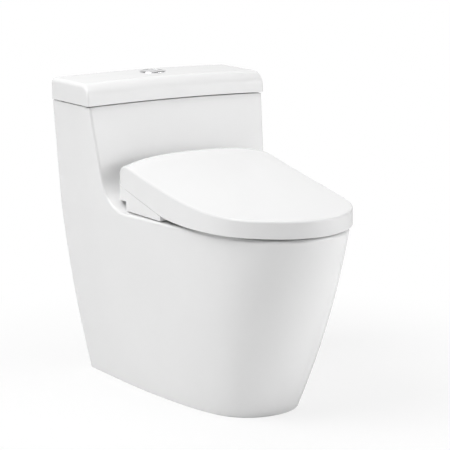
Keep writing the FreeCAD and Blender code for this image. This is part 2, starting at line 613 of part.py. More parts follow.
def make_fill_valve():
    floor_z = TANK_FLOOR_Z
    under = DECK_Z - DECK_THICK
    nut_low = under - 12
    column = post(SUPPLY_R, FILL_X, FILL_DEPTH, nut_low - THREAD, nut_low)
    column = column.fuse(post(SHOULDER_R, FILL_X, FILL_DEPTH, nut_low, floor_z + 4))
    column = column.fuse(post(22, FILL_X, FILL_DEPTH, floor_z + 3, floor_z + 9))
    column = column.fuse(post(13, FILL_X, FILL_DEPTH, floor_z + 9, COLUMN_Z))
    column = column.cut(post(6, FILL_X, FILL_DEPTH, nut_low - THREAD - 6, COLUMN_Z - 8))
    keep("fill_valve_column", column)
    keep("fill_valve_washer", tube(SHOULDER_R, 23, FILL_X, FILL_DEPTH, floor_z, floor_z + 3))
    keep("fill_valve_nut", tube(SHOULDER_R, 19, FILL_X, FILL_DEPTH, nut_low, under))
    head = post(22, FILL_X, FILL_DEPTH, COLUMN_Z, COLUMN_Z + 18)
    spout_z = COLUMN_Z + 24
    pin_depth, pin_z = LEVER_PIN
    ears = block(FILL_X - 5, FILL_X + 5, FILL_DEPTH + 18, pin_depth + 4, pin_z - 5, pin_z + 5)
    half_slot = 2 + FREE
    ears = ears.cut(block(FILL_X - half_slot, FILL_X + half_slot, FILL_DEPTH + 22, pin_depth + 10,
                          pin_z - 6, pin_z + 6))
    spout = post(4, FILL_X + 14, FILL_DEPTH, spout_z - 10, spout_z)
    head = fuse_all([head, ears, spout])
    keep("fill_valve_head", head.fuse(x_post(LEVER_PIN_R, FILL_X - 5, FILL_X + 5, pin_depth, pin_z)))
    lever = block(FILL_X - 2, FILL_X + 2, pin_depth - 3, pin_depth + 30, pin_z - 2.5, pin_z + 2.5)
    lever = lever.cut(x_post(LEVER_PIN_R + RUNNING, FILL_X - 10, FILL_X + 10, pin_depth, pin_z))
    keep("fill_valve_lever", lever)
    cup = tube(13 + FREE, 27, FILL_X, FILL_DEPTH, FLOAT_LOW, FLOAT_LOW + 66)
    cup = cup.cut(tube(17, 24, FILL_X, FILL_DEPTH, FLOAT_LOW - 1, FLOAT_LOW + 60))
    keep("fill_valve_float", cup)
    start = at(FILL_X + 14, FILL_DEPTH, spout_z)
    rise = 14.0
    arc_up = Part.Arc(start, start + Vector(rise * (1 - math.sqrt(0.5)), 0, rise * math.sqrt(0.5)),
                      start + Vector(rise, 0, rise)).toShape()
    far = at(-rise, VALVE_DEPTH, spout_z + rise)
    run = Part.makeLine(start + Vector(rise, 0, rise), far)
    route = Part.Wire([arc_up])
    hose = route.makePipeShell([Part.Wire([Part.makeCircle(2.8, start, Vector(0, 0, 1))])], True, False)
    straight = (far - (start + Vector(rise, 0, rise)))
    run_solid = Part.makeCylinder(2.8, straight.Length, start + Vector(rise, 0, rise), straight)
    drop = far + Vector(rise, 0, -rise)
    halfway = far + Vector(rise * math.sqrt(0.5), 0, -rise * (1 - math.sqrt(0.5)))
    arc_down = Part.Arc(far, halfway, drop).toShape()
    section = Part.Wire([Part.makeCircle(2.8, far, Vector(1, 0, 0))])
    end = Part.Wire([arc_down]).makePipeShell([section], True, False)
    lower = post(2.8, 0, VALVE_DEPTH, spout_z - 10, spout_z)
    keep("refill_tube", fuse_all([hose, run_solid, end, lower]))


# ---- seat fixing ----
def make_seat_mounting():
    low = DECK_Z
    plate = block(-94, 94, 265, 292, low, low + 3.2)
    rails = both_sides(block(40, 44, 265, 292, low + 3.2, low + 5.4))
    plate = plate.fuse(rails)
    for side in (-1, 1):
        plate = plate.cut(post(5.2, side * BOLT_HALF, BOLT_DEPTH, low - 5, low + 10))
    keep("seat_mounting_plate", plate)
    under = DECK_Z - DECK_THICK
    bolts, bushes, nuts = [], [], []
    for side in (-1, 1):
        x = side * BOLT_HALF
        bolts.append(post(4, x, BOLT_DEPTH, under - 22, low + 3.2)
                     .fuse(post(8, x, BOLT_DEPTH, low + 3.2, low + 6.6)))
        bushes.append(tube(4, BOLT_HOLE_R, x, BOLT_DEPTH, under, low))
        nuts.append(tube(4, 11, x, BOLT_DEPTH, under - 12, under))
    keep("seat_bolts", group(bolts))
    keep("seat_bolt_bushes", group(bushes))
    keep("seat_bolt_nuts", group(nuts))


# ---- seat unit ----
SEAM_FALL = (SEAM_REAR_Z - SEAM_BEND[1]) / (SEAM_BEND[0] - LID_REAR)


def seam(depth):
    """Height of the lid's lower edge along its straight rear part."""
    return SEAM_REAR_Z - SEAM_FALL * (depth - LID_REAR)


def below_seam(gap, x0=-200.0, x1=200.0):
    """Everything under the seam line, lowered by a gap."""
    return side_polygon([(150, seam(150) - gap), (440, seam(440) - gap), (440, 300), (150, 300)], x0, x1)


def lid_wire(inset, z, rear=LID_REAR):
    half = LID_HALF - inset
    return egg_wire(half, LID_TIP - inset, LID_SHAPE, z, rear + inset, max(LID_CORNER_R - inset, 3.0))


def lid_prism(inset, z0, z1):
    return Part.Face(lid_wire(inset, z0)).extrude(Vector(0, 0, z1 - z0))


def unit_plan(z0, z1, grow=0.0):
    """U-shaped plan of the lower case: full width at the back, two flanks forward to their tips."""
    plan = lid_prism(LID_HALF - UNIT_HALF - grow, z0, z1)
    plan = plan.common(block(-200, 200, UNIT_REAR - 5, CHEEK_FRONT + grow, z0 - 1, z1 + 1))
    inside = CHEEK_IN - grow
    return plan.cut(block(-inside, inside, UNIT_FRONT + grow, CHEEK_FRONT + 30, z0 - 1, z1 + 1))


def cover_profile(inset):
    """Side profile of the raised middle of the unit."""
    rear, front = UNIT_REAR + 3 + inset, UNIT_FRONT - inset
    low = 380.0
    top_rear = (232.0, 478.0 - inset)
    top_front = (284.0, 468.6 - inset)
    arc_rear = Part.Arc(at(0, rear, 468.0), at(0, rear + 2.8, 475.0 - inset), at(0, *top_rear)).toShape()
    arc_front = Part.Arc(at(0, *top_front), at(0, 302.0 - inset * 0.6, 462.0 - inset),
                         at(0, front, 446.0 - inset)).toShape()
    top = Part.makeLine(at(0, *top_rear), at(0, *top_front))
    rest = [at(0, front, 446.0 - inset), at(0, front, low), at(0, rear, low), at(0, rear, 468.0)]
    return [arc_rear, top, arc_front] + Part.makePolygon(rest).Edges


NOZZLE_EXIT = (UNIT_FRONT, 403.5)     # depth and height where the nozzle axis leaves the unit
TILT = math.radians(NOZZLE_TILT)
NOZZLE_AXIS = Vector(0, -math.cos(TILT), -math.sin(TILT))
NOZZLE_UP = Vector(0, -math.sin(TILT), math.cos(TILT))


def along_nozzle(s, up=0.0, x=0.0):
    """A point on the nozzle axis, s forward of the exit, raised square to the axis."""
    return at(x, *NOZZLE_EXIT) + NOZZLE_AXIS * s + NOZZLE_UP * up


def nozzle_rod(radius, s0, s1):
    return Part.makeCylinder(radius, s1 - s0, along_nozzle(s0), NOZZLE_AXIS)


def nozzle_bar(x0, x1, up0, up1, s0, s1):
    """A bar along the nozzle axis."""
    corners = [along_nozzle(s0, up0, x0), along_nozzle(s0, up1, x0), along_nozzle(s1, up1, x0),
               along_nozzle(s1, up0, x0)]
    return Part.Face(Part.makePolygon(corners + corners[:1])).extrude(Vector(x1 - x0, 0, 0))


DRAWER = (252.0, 290.0, UNIT_BOTTOM + 11.4, UNIT_BOTTOM + 27.0)     # depth and height range
RELEASE = (322.0, 403.5)                  # middle of the release button
RELEASE_R = 6.5
INLET_R = 4.2           # outside of the water inlet stub
INLET_BORE_R = 2.6
CORD_R = 3.5            # bore of the power cord gland


def make_unit_case():
    low = UNIT_BOTTOM
    base = unit_plan(low, 450).common(below_seam(SEAM_GAP))
    base = base.cut(block(-200, 200, UNIT_REAR - 10, NOTCH_FRONT, low - 5, NOTCH_Z))
    rooms = ((COVER_HALF - SHELL, below_seam(-20)), (UNIT_HALF - SHELL, below_seam(SEAM_GAP + SHELL)))
    for half, ceiling in rooms:
        room = block(-half, half, UNIT_REAR + 3 + SHELL, UNIT_FRONT - SHELL, NOTCH_Z + SHELL, 460)
        room = room.fuse(block(-half, half, NOTCH_FRONT + SHELL, UNIT_FRONT - SHELL, low + 11, NOTCH_Z + 5))
        base = base.cut(room.common(ceiling))
    recess = block(-97, 97, UNIT_REAR - 5, 295, low - 5, DECK_Z + 6)
    head_room = both_sides(block(BOLT_HALF - 10, BOLT_HALF + 10, UNIT_REAR - 5, 295, low - 5, DECK_Z + 7.2))
    base = base.cut(recess).cut(head_room)
    base = base.cut(nozzle_rod(NOZZLE_R + 3.2, -24, 30))
    depth0, depth1, z0, z1 = DRAWER
    base = base.cut(block(UNIT_HALF - 36, UNIT_HALF + 8, depth0 - FREE, depth1 + FREE, z0 - FREE, z1 + FREE))
    base = base.cut(x_post(RELEASE_R + FREE, UNIT_HALF - 10, UNIT_HALF + 8, *RELEASE))
    keep("unit_base", base)
    outer = side_prism(cover_profile(0.0), -COVER_HALF, COVER_HALF)
    inner = side_prism(cover_profile(SHELL), -COVER_HALF + SHELL, COVER_HALF - SHELL)
    cover = outer.cut(inner).cut(below_seam(SEAM_GAP))
    cover = cover.cut(x_post(PIN_R, -180, 180, PIVOT_DEPTH, PIVOT_Z))
    keep("unit_cover", cover)


def make_unit_inside():
    """What the lower case carries below the cover."""
    pin = x_post(PIN_R, COVER_HALF - 21, LID_HALF - 2.2, PIVOT_DEPTH, PIVOT_Z)
    keep("hinge_pins", group([pin, mirrored(pin)]))
    damper = x_post(6.2, COVER_HALF - 57, COVER_HALF - SHELL, PIVOT_DEPTH + 3, PIVOT_Z - 2)
    damper = damper.fuse(block(COVER_HALF - 53, COVER_HALF - 9, 226, 244, seam(235) - 14, PIVOT_Z - 4))
    damper = damper.cut(x_post(PIN_R, COVER_HALF - 21, COVER_HALF, PIVOT_DEPTH, PIVOT_Z))
    keep("hinge_dampers", group([damper, mirrored(damper)]))
    floor_z = UNIT_BOTTOM + 11
    outer = -COVER_HALF + 21
    heater = block(outer, -34, 252, 304, floor_z, floor_z + 34)
    heater = round_edges(heater, 5, lambda p: p.z > floor_z + 33)
    stubs = post(4, outer + 12, 262, floor_z + 34, floor_z + 44)
    stubs = stubs.fuse(post(4, outer + 12, 292, floor_z + 34, floor_z + 44))
    keep("water_heater", heater.fuse(stubs))
    low = NOTCH_Z + SHELL
    valve = block(-84, -58, 226, 246, low, low + 22).fuse(post(8, -71, 236, low + 22, low + 38))
    keep("solenoid_valve", valve)
    board = block(-56, 20, 232, 280, 458, 459.6)
    chips = [block(-50, -32, 240, 256, 456, 458), block(-20, -6, 242, 252, 455.4, 458),
             block(4, 14, 262, 274, 453.6, 458)]
    keep("control_board", fuse_all([board] + chips))
    fan_x = COVER_HALF - 61
    fan = post(19, fan_x, 272, floor_z + 8, floor_z + 24)
    fan = fan.fuse(block(fan_x, COVER_HALF - 27, 253, 269, floor_z + 8, floor_z + 24))
    fan = fan.cut(post(9, fan_x, 272, floor_z + 14, floor_z + 30))
    feet = both_sides(block(0, 4, 268, 276, floor_z, floor_z + 8))
    feet.translate(Vector(fan_x, 0, 0))
    keep("deodoriser_fan", fan.fuse(feet))


RACK_PITCH_UP = NOZZLE_R + 1.5    # rack pitch line above the nozzle axis
GEAR_MODULE = 1.0
PINION_TEETH = 12
PINION_R = GEAR_MODULE * PINION_TEETH / 2.0
PINION_S = -22.0         # place of the pinion along the nozzle axis
TOOTH_TIP = 0.75
TOOTH_ROOT = 1.1
BACKLASH = 0.45
WAND_REAR = -92.0
WAND_FRONT = 2.0


def make_pinion():
    """Spur pinion on the motor shaft, a tooth gap pointing down at the rack."""
    centre = along_nozzle(PINION_S, RACK_PITCH_UP + PINION_R)
    root, tip = PINION_R - TOOTH_ROOT, PINION_R + TOOTH_TIP
    pitch = 2 * math.pi / PINION_TEETH
    at_root = (math.pi * GEAR_MODULE / 2 - BACKLASH + 0.7) / root / 2
    at_tip = (math.pi * GEAR_MODULE / 2 - BACKLASH - 0.5) / tip / 2
    corners = []
    for tooth in range(PINION_TEETH):
        middle = pitch * (tooth + 0.5)
        for radius, angle in ((root, middle - at_root), (tip, middle - at_tip),
                              (tip, middle + at_tip), (root, middle + at_root)):
            along = NOZZLE_AXIS * (radius * math.sin(angle))
            corners.append(centre - NOZZLE_UP * (radius * math.cos(angle)) + along)
    face = Part.Face(Part.makePolygon(corners + corners[:1]))
    face.translate(Vector(-2.5, 0, 0))
    gear = face.extrude(Vector(5, 0, 0))
    hole = Part.makeCylinder(2.05, 40, centre + Vector(-20, 0, 0), Vector(1, 0, 0))
    keep("nozzle_pinion", gear.cut(hole))
    motor = Part.makeCylinder(9, 24, centre + Vector(6, 0, 0), Vector(1, 0, 0))
    shaft = Part.makeCylinder(2, 12, centre + Vector(-5, 0, 0), Vector(1, 0, 0))
    foot = block(6, 30, BACK - centre.y - 7, BACK - centre.y + 7, UNIT_BOTTOM + 11, centre.z - 4)
    foot = foot.cut(nozzle_rod(NOZZLE_R + 4.5, -60, 40))
    keep("nozzle_motor", fuse_all([motor, shaft, foot]))


def make_nozzle():
    wand = nozzle_rod(NOZZLE_R, WAND_REAR, WAND_FRONT)
    rack_floor = RACK_PITCH_UP - TOOTH_ROOT
    rack = nozzle_bar(-2.2, 2.2, NOZZLE_R - 2, rack_floor, WAND_REAR, WAND_FRONT - 16)
    pitch = math.pi * GEAR_MODULE
    half_root = (pitch / 2 - BACKLASH + 0.8) / 2
    half_tip = (pitch / 2 - BACKLASH - 0.5) / 2
    teeth = []
    first = math.ceil((WAND_REAR + 2 - PINION_S) / pitch)
    last = math.floor((WAND_FRONT - 18 - PINION_S) / pitch)
    for index in range(first, last + 1):
        s = PINION_S + index * pitch
        corners = [along_nozzle(s - half_root, rack_floor, -2.2),
                   along_nozzle(s - half_tip, RACK_PITCH_UP + TOOTH_TIP, -2.2),
                   along_nozzle(s + half_tip, RACK_PITCH_UP + TOOTH_TIP, -2.2),
                   along_nozzle(s + half_root, rack_floor, -2.2)]
        teeth.append(Part.Face(Part.makePolygon(corners + corners[:1])).extrude(Vector(4.4, 0, 0)))
    keep("nozzle_wand", wand.fuse(rack).fuse(teeth))
    tip = nozzle_rod(NOZZLE_R + 0.2, WAND_FRONT, WAND_FRONT + 13)
    dome = Part.makeSphere(NOZZLE_R + 0.2, along_nozzle(WAND_FRONT + 13))
    tip = tip.fuse(dome)
    for s in (4.0, 9.0):
        hole = Part.makeCylinder(1.1, 5, along_nozzle(WAND_FRONT + s, NOZZLE_R - 3), NOZZLE_UP)
        tip = tip.cut(hole)
    keep("nozzle_tip", tip)
    guide = nozzle_rod(NOZZLE_R + 3.2, -66, -4)
    guide = guide.cut(nozzle_rod(NOZZLE_R + FREE, -80, 10))
    guide = guide.cut(nozzle_bar(-3, 3, 0, 20, -80, 10))
    gap = nozzle_bar(-20, 20, 2, 20, PINION_S - 9, PINION_S + 9)
    keep("nozzle_guide", guide.cut(gap))


def make_unit_outside():
    """Side drawer, release button and the two connections in the notch."""
    depth0, depth1, z0, z1 = DRAWER
    drawer = block(UNIT_HALF - 34, UNIT_HALF - 0.2, depth0, depth1, z0, z1)
    drawer = drawer.cut(block(UNIT_HALF - 32, UNIT_HALF - 3, depth0 + 2, depth1 - 2, z0 + 2, z1 + 5))
    keep("filter_drawer", drawer)
    keep("carbon_filter", block(UNIT_HALF - 30, UNIT_HALF - 5, depth0 + 3, depth1 - 3, z0 + 2, z0 + 8))
    button = x_post(RELEASE_R, UNIT_HALF - 7.5, UNIT_HALF + 0.8, *RELEASE)
    keep("release_button", button)
    depth, z = NOTCH_FRONT - 7.4, NOTCH_Z - 7.6
    mouth = -UNIT_HALF + 5.0
    bend_x = mouth + 20.0
    elbow = x_post(INLET_R, mouth, bend_x, depth, z).fuse(post(INLET_R, bend_x, depth, z, NOTCH_Z))
    for x0, x1 in ((mouth + 14.5, mouth + 17.0), (mouth, mouth + 1.5)):
        elbow = elbow.fuse(x_post(INLET_R + 1, x0, x1, depth, z))
    keep("water_inlet_elbow", elbow.cut(x_post(INLET_BORE_R, mouth - 3, bend_x, depth, z)))
    nut_x0, nut_x1 = mouth + 2.2, mouth + 13.8
    nut = x_tube(INLET_R + RUNNING, 6.2, nut_x0, nut_x1, depth, z)
    for index in range(10):
        rib = block(nut_x0, nut_x1, depth - 0.7, depth + 0.7, z + 5.9, z + 6.8)
        rib.rotate(at(0, depth, z), Vector(1, 0, 0), 36.0 * index)
        nut = nut.fuse(rib)
    keep("inlet_swivel_nut", nut)
    inner = UNIT_HALF - 24.0
    gland = x_post(6, inner - 2, inner + 12, depth, z).fuse(post(5, inner, depth, z, NOTCH_Z))
    keep("cord_gland", gland.cut(x_post(CORD_R, inner, inner + 22, depth, z)))


# ---- seat ----
def seat_top_profile(lower):
    """Side profile under the seat's top line, lowered by some wall."""
    front = LID_TIP + 10
    points = [at(0, 200, SEAT_TOP_REAR + 12 - lower), at(0, UNIT_FRONT, SEAT_TOP_REAR - lower),
              at(0, 400, SEAT_TOP_REAR - 8.5 - lower), at(0, LID_TIP - 205, SEAT_TOP_FRONT + 5.5 - lower),
              at(0, LID_TIP - 105, SEAT_TOP_FRONT + 1.6 - lower), at(0, front, SEAT_TOP_FRONT - 0.5 - lower)]
    curve = spline(points)
    rest = [points[-1], at(0, front, 380), at(0, 200, 380), points[0]]
    return [curve] + Part.makePolygon(rest).Edges


def seat_solid(wall):
    """Closed seat ring, shrunk on every side by a wall."""
    ring = lid_prism(SEAT_INSET + wall, SEAT_UNDER_Z + wall, 460)
    ring = ring.common(side_prism(seat_top_profile(wall), -200, 200))
    ring = ring.cut(block(-200, 200, 150, UNIT_FRONT + 2 + wall, 380, 470))
    hole = Part.Face(oval_wire(SEAT_HOLE_REAR - wall, SEAT_HOLE_FRONT + wall, SEAT_HOLE_HALF + wall, 380,
                               2.1)).extrude(Vector(0, 0, 90))
    ring = ring.cut(hole)
    cheeks = unit_plan(380, 450, 1.5 + wall).common(below_seam(-1.5 - wall))
    ring = ring.cut(cheeks)
    return ring.cut(block(-62 - wall, 62 + wall, 300, SEAT_HOLE_REAR + 20, 380, 415.5 + wall))


def make_seat():
    outside = seat_solid(0.0)

    def on_top_edge(p):
        depth = BACK - p.y
        return (depth > UNIT_FRONT + 3 or abs(p.x) > CHEEK_IN) and top_gap(p) < 0.05

    outside = round_edges(outside, SEAT_EDGE_R, on_top_edge)
    arm = side_polygon([(PIVOT_DEPTH, PIVOT_Z + 8.5), (250, 470.5), (335, 441), (352, 434), (352, 414),
                        (340, 418), (300, seam(300) + 2), (PIVOT_DEPTH, PIVOT_Z - 8.5)], ARM_IN, ARM_OUT)
    arm = arm.fuse(x_post(8.5, ARM_IN, ARM_OUT, PIVOT_DEPTH, PIVOT_Z))
    arm = arm.cut(x_post(PIN_R + RUNNING, ARM_IN - 13, ARM_OUT + 13, PIVOT_DEPTH, PIVOT_Z))
    split = SEAT_UNDER_Z + 8
    lower_half = block(-250, 250, 150, LID_TIP + 45, 380, split)
    lower = outside.common(lower_half)
    upper = outside.cut(lower_half)
    cavity = seat_solid(SHELL).cut(block(-250, 250, 150, LID_TIP + 45, 380, split - SHELL))
    keep("seat_lower", lower.cut(cavity))
    keep("seat_upper", fuse_all([upper.cut(cavity), arm, mirrored(arm)]))
    foil = seat_solid(SHELL).cut(side_prism(seat_top_profile(SHELL + 0.4), -200, 200))
    foil = foil.cut(block(-200, 200, 150, SEAT_HOLE_REAR, 380, 470))
    keep("heating_foil", foil)
    pads = []
    for side in (-1, 1):
        for x, depth in ((LID_HALF - 40.0, 420.0), (LID_HALF - 60.0, LID_TIP - 115.0)):
            pads.append(block(side * x - 6, side * x + 6, depth - 14, depth + 14, DECK_Z + 0.3, SEAT_UNDER_Z))
    keep("seat_bumpers", group(pads))


def top_gap(p):
    """Distance of a point below the seat's top curve, found on the profile itself."""
    probe = Part.Vertex(Vector(0, p.y, p.z))
    return probe.distToShape(seat_top_profile(0.0)[0])[0]


# ---- seat lid ----
# Top surface: depth, height at the side edges, extra height in the middle.
LID_TOP = [(LID_REAR, 487.4, 14.0), (260.0, 479.3, 13.0), (340.0, 464.8, 11.5),
           ((LID_TIP + 155.0) / 2, 448.6, 10.0), (LID_TIP - 185.0, 435.0, 8.5),
           (LID_TIP - 95.0, 426.0, 7.0), (LID_TIP + 25.0, 421.5, 5.0)]


def lid_envelope(lower):
    """Everything under the lid's crowned top surface, rounded down at the back."""
    wires = []
    wide = LID_HALF + 8.0
    rows = [(LID_REAR + lower, LID_TOP[0][1], LID_TOP[0][2])] + LID_TOP[1:]
    for depth, edge_z, crown in rows:
        left, middle = at(-wide, depth, edge_z - lower), at(0, depth, edge_z + crown - lower)
        right = at(wide, depth, edge_z - lower)
        arc = Part.Arc(left, middle, right).toShape()
        below = Part.makePolygon([right, at(wide, depth, 370), at(-wide, depth, 370), left])
        wires.append(Part.Wire([arc] + below.Edges))

    def on_rear_top(p):
        return abs(BACK - p.y - rows[0][0]) < 0.01 and p.z > 460

    return round_edges(loft(wires), LID_REAR_R - lower, on_rear_top)


def lid_lower_cut():
    """The space below the lid's lower edge, which follows the seam line and then runs level."""
    bend = at(0, *SEAM_BEND)
    far = LID_TIP + 35.0
    curve = spline([bend, at(0, 400, 401.6), at(0, 440, 397.6), at(0, LID_TIP - 185, LID_BOTTOM_Z + 1.4),
                    at(0, LID_TIP - 85, LID_BOTTOM_Z + 0.5), at(0, far, LID_BOTTOM_Z)],
                   Vector(0, -1, -SEAM_FALL), Vector(0, -1, 0))
    rest = [at(0, far, LID_BOTTOM_Z), at(0, far, 360), at(0, 150, 360), at(0, 150, seam(150)), bend]
    return side_prism([curve] + Part.makePolygon(rest).Edges, -250, 250)


def make_lid():
    outside = lid_prism(0.0, 372, 520).common(lid_envelope(0.0))
    outside = round_edges(outside, LID_EDGE_R, on_top_rim)
    inside = lid_prism(LID_WALL, 360, 520).common(lid_envelope(LID_WALL))
    lid = outside.cut(inside).cut(lid_lower_cut())
    lid = lid.cut(block(-UNIT_HALF + 5.6, UNIT_HALF - 5.6, LID_REAR - 5, LID_REAR + 14, 360, 479.5))
    boss_in = ARM_OUT + FREE
    boss = x_post(9, boss_in, LID_HALF - LID_WALL + 1, PIVOT_DEPTH, PIVOT_Z)
    boss = boss.cut(x_post(PIN_R + RUNNING, ARM_IN - 13, LID_HALF - 1.9, PIVOT_DEPTH, PIVOT_Z))
    pocket = x_post(PIN_R + RUNNING, ARM_IN - 13, LID_HALF - 1.9, PIVOT_DEPTH, PIVOT_Z)
    lid = lid.fuse(boss).fuse(mirrored(boss)).cut(pocket).cut(mirrored(pocket))
    keep("seat_lid", lid)
    pads = []
    for side in (-1, 1):
        for x, depth, top in ((LID_HALF - 44.0, 470.0, 448.0), (LID_HALF - 80.0, LID_TIP - 75.0, 432.0)):
            pad = block(side * x - 5, side * x + 5, depth - 9, depth + 9, 400, top)
            pad = pad.cut(side_prism(seat_top_profile(-0.4), -200, 200)).common(lid_envelope(LID_WALL))
            pads.append(pad)
    keep("lid_bumpers", group(pads))


def on_top_rim(p):
    """True for points on the rim where the lid's top meets its upright side."""
    across = abs(p.x) < 1 and BACK - p.y < LID_TIP - 2
    return p.z > 415 and not across


def build():
    make_china()
    make_outlet()
    make_tank_lid()
    make_buttons()
    make_flush_valve()
    make_fill_valve()
    make_seat_mounting()
    make_unit_case()
    make_unit_inside()
    make_pinion()
    make_nozzle()
    make_unit_outside()
    make_seat()
    make_lid()


build()
os.makedirs("parts", exist_ok=True)
for node, solid in PARTS.items():
    solid.exportStep(os.path.join("parts", node + ".step"))
    print(node, len(solid.Solids), "solids, volume", round(solid.Volume / 1000.0, 1), "cm3",
          "valid" if solid.isValid() else "INVALID")
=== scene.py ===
"""Visual model of a one-piece smart toilet with a heated seat, in white studio light.

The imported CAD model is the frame. Sizes of the object are millimetres: x across, depth forward of the
china's back face, z up from the floor. Bench.metres turns them into the frame's metres. Lamps, floor and
materials are in metres.
"""
import json
import logging
import math
from dataclasses import dataclass
from enum import Enum
from typing import Sequence

import bpy
import numpy as np
from mathutils import Matrix, Vector


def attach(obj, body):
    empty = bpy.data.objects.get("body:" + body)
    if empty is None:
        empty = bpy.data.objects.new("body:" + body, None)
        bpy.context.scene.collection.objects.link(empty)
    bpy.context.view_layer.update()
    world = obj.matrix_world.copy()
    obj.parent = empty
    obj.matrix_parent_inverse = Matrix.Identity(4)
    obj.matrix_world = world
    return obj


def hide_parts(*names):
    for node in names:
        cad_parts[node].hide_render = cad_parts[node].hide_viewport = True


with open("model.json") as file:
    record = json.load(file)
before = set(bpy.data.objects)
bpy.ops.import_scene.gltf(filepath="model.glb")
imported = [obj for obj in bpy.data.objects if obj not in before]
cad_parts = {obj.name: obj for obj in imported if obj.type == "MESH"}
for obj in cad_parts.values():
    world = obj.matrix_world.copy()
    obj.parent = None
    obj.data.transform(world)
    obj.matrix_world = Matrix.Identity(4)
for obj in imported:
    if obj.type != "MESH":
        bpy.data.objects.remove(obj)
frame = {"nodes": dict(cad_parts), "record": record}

LOG = logging.getLogger("toilet")
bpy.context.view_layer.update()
BACK = 285.0            # the china's back face stands this far behind the floor outlet
MM = 0.001              # a millimetre in metres
Triple = tuple[float, float, float]
Pair = tuple[float, float]


# ---- shader maths -------------------------------------------------------------------------------
class Wire:
    """One output of a shader node, with Python's operators for shader maths."""

    def __init__(self, tree: "Tree", socket: bpy.types.NodeSocket) -> None:
        """Wraps a socket.

        Args:
            tree: The node tree that the socket belongs to.
            socket: The output socket.
        """
        self.tree = tree
        self.socket = socket

    def _maths(self, operation: str, first: object, second: object) -> "Wire":
        """Adds a Math node of two values and returns its output."""
        return self.tree.add("ShaderNodeMath", {"operation": operation}, {0: first, 1: second})

    def __add__(self, other: object) -> "Wire":
        """Sum."""
        return self._maths("ADD", self, other)

    __radd__ = __add__

    def __sub__(self, other: object) -> "Wire":
        """Difference."""
        return self._maths("SUBTRACT", self, other)

    def __rsub__(self, other: object) -> "Wire":
        """Difference, the other way round."""
        return self._maths("SUBTRACT", other, self)

    def __mul__(self, other: object) -> "Wire":
        """Product."""
        return self._maths("MULTIPLY", self, other)

    __rmul__ = __mul__

    def between(self, low: float, high: float) -> "Wire":
        """A smooth rise from 0 at low to 1 at high."""
        return self.tree.add("ShaderNodeMapRange", {"interpolation_type": "SMOOTHSTEP"},
                             {"Value": self, "From Min": low, "From Max": high})


class Tree:
    """The node tree of one material or world."""

    def __init__(self, owner: bpy.types.ID) -> None:
        """Empties the owner's node tree.

        Args:
            owner: The material or world whose nodes are built.
        """
        owner.use_nodes = True
        self.nodes = owner.node_tree.nodes
        self.links = owner.node_tree.links
        self.nodes.clear()

    def add(self, kind: str, settings: dict | None = None, values: dict | None = None,
            out: int | str = 0) -> Wire:
        """Adds a node, sets it and feeds it.

        Args:
            kind: The node's type name.
            settings: Properties of the node, set before its sockets.
            values: Values or wires by socket name or index.
            out: The output that is returned.

        Returns:
            The chosen output.
        """
        node = self.nodes.new(kind)
        for name, value in (settings or {}).items():
            setattr(node, name, value)
        for key, value in (values or {}).items():
            if isinstance(value, Wire):
                self.links.new(value.socket, node.inputs[key])
            else:
                node.inputs[key].default_value = value
        return Wire(self, node.outputs[out] if node.outputs else None)

    def here(self) -> Wire:
        """Object coordinates."""
        return self.add("ShaderNodeTexCoord", None, None, "Object")

    def noise(self, place: Wire, scale: float, detail: float = 2.0, rough: float = 0.5) -> Wire:
        """Noise between 0 and 1 at a place."""
        return self.add("ShaderNodeTexNoise", None,
                        {"Vector": place, "Scale": scale, "Detail": detail, "Roughness": rough})

    def stretched(self, place: Wire, scale: Triple) -> Wire:
        """Coordinates scaled by axis."""
        return self.add("ShaderNodeMapping", None, {"Vector": place, "Scale": scale})

    def blend(self, share: Wire | float, first: Triple, second: Triple) -> Wire:
        """A colour between two."""
        return self.add("ShaderNodeMix", {"data_type": "RGBA"},
                        {0: share, 6: (*first, 1.0), 7: (*second, 1.0)}, 2)

    def bump(self, height: Wire, strength: float, distance: float) -> Wire:
        """A normal raised by a height."""
        return self.add("ShaderNodeBump", None,
                        {"Height": height, "Strength": strength, "Distance": distance})


# ---- finishes -----------------------------------------------------------------------------------
@dataclass(frozen=True)
class Finish:
    """What every finish shares: a name, a colour and how rough it is."""

    name: str
    colour: Triple
    roughness: float

    def make(self) -> bpy.types.Material:
        """Builds the material.

        Returns:
            The new material.
        """
        material = bpy.data.materials.new(self.name)
        tree = Tree(material)
        shader = tree.add("ShaderNodeBsdfPrincipled", None, self.sockets(tree))
        tree.add("ShaderNodeOutputMaterial", None, {"Surface": shader})
        return material

    def sockets(self, tree: Tree) -> dict[str, object]:
        """Values of the surface shader, which each kind of finish works out."""
        raise NotImplementedError

    def surface(self, tree: Tree, tint: tuple[Wire, Triple], dull: Wire,
                relief: tuple[Wire, float, float]) -> dict[str, object]:
        """Gathers what every finish feeds the surface shader.

        Args:
            tree: The material's node tree.
            tint: Where the colour changes, and the colour that it changes to.
            dull: What is added to the roughness.
            relief: Height, strength and distance of the bump.

        Returns:
            Values of the surface shader.
        """
        return {"Base Color": tree.blend(tint[0], self.colour, tint[1]),
                "Roughness": dull + self.roughness,
                "Normal": tree.bump(*relief)}

    def shade(self, factor: float) -> Triple:
        """The finish's colour made lighter or darker."""
        return tuple(min(1.0, channel * factor) for channel in self.colour)


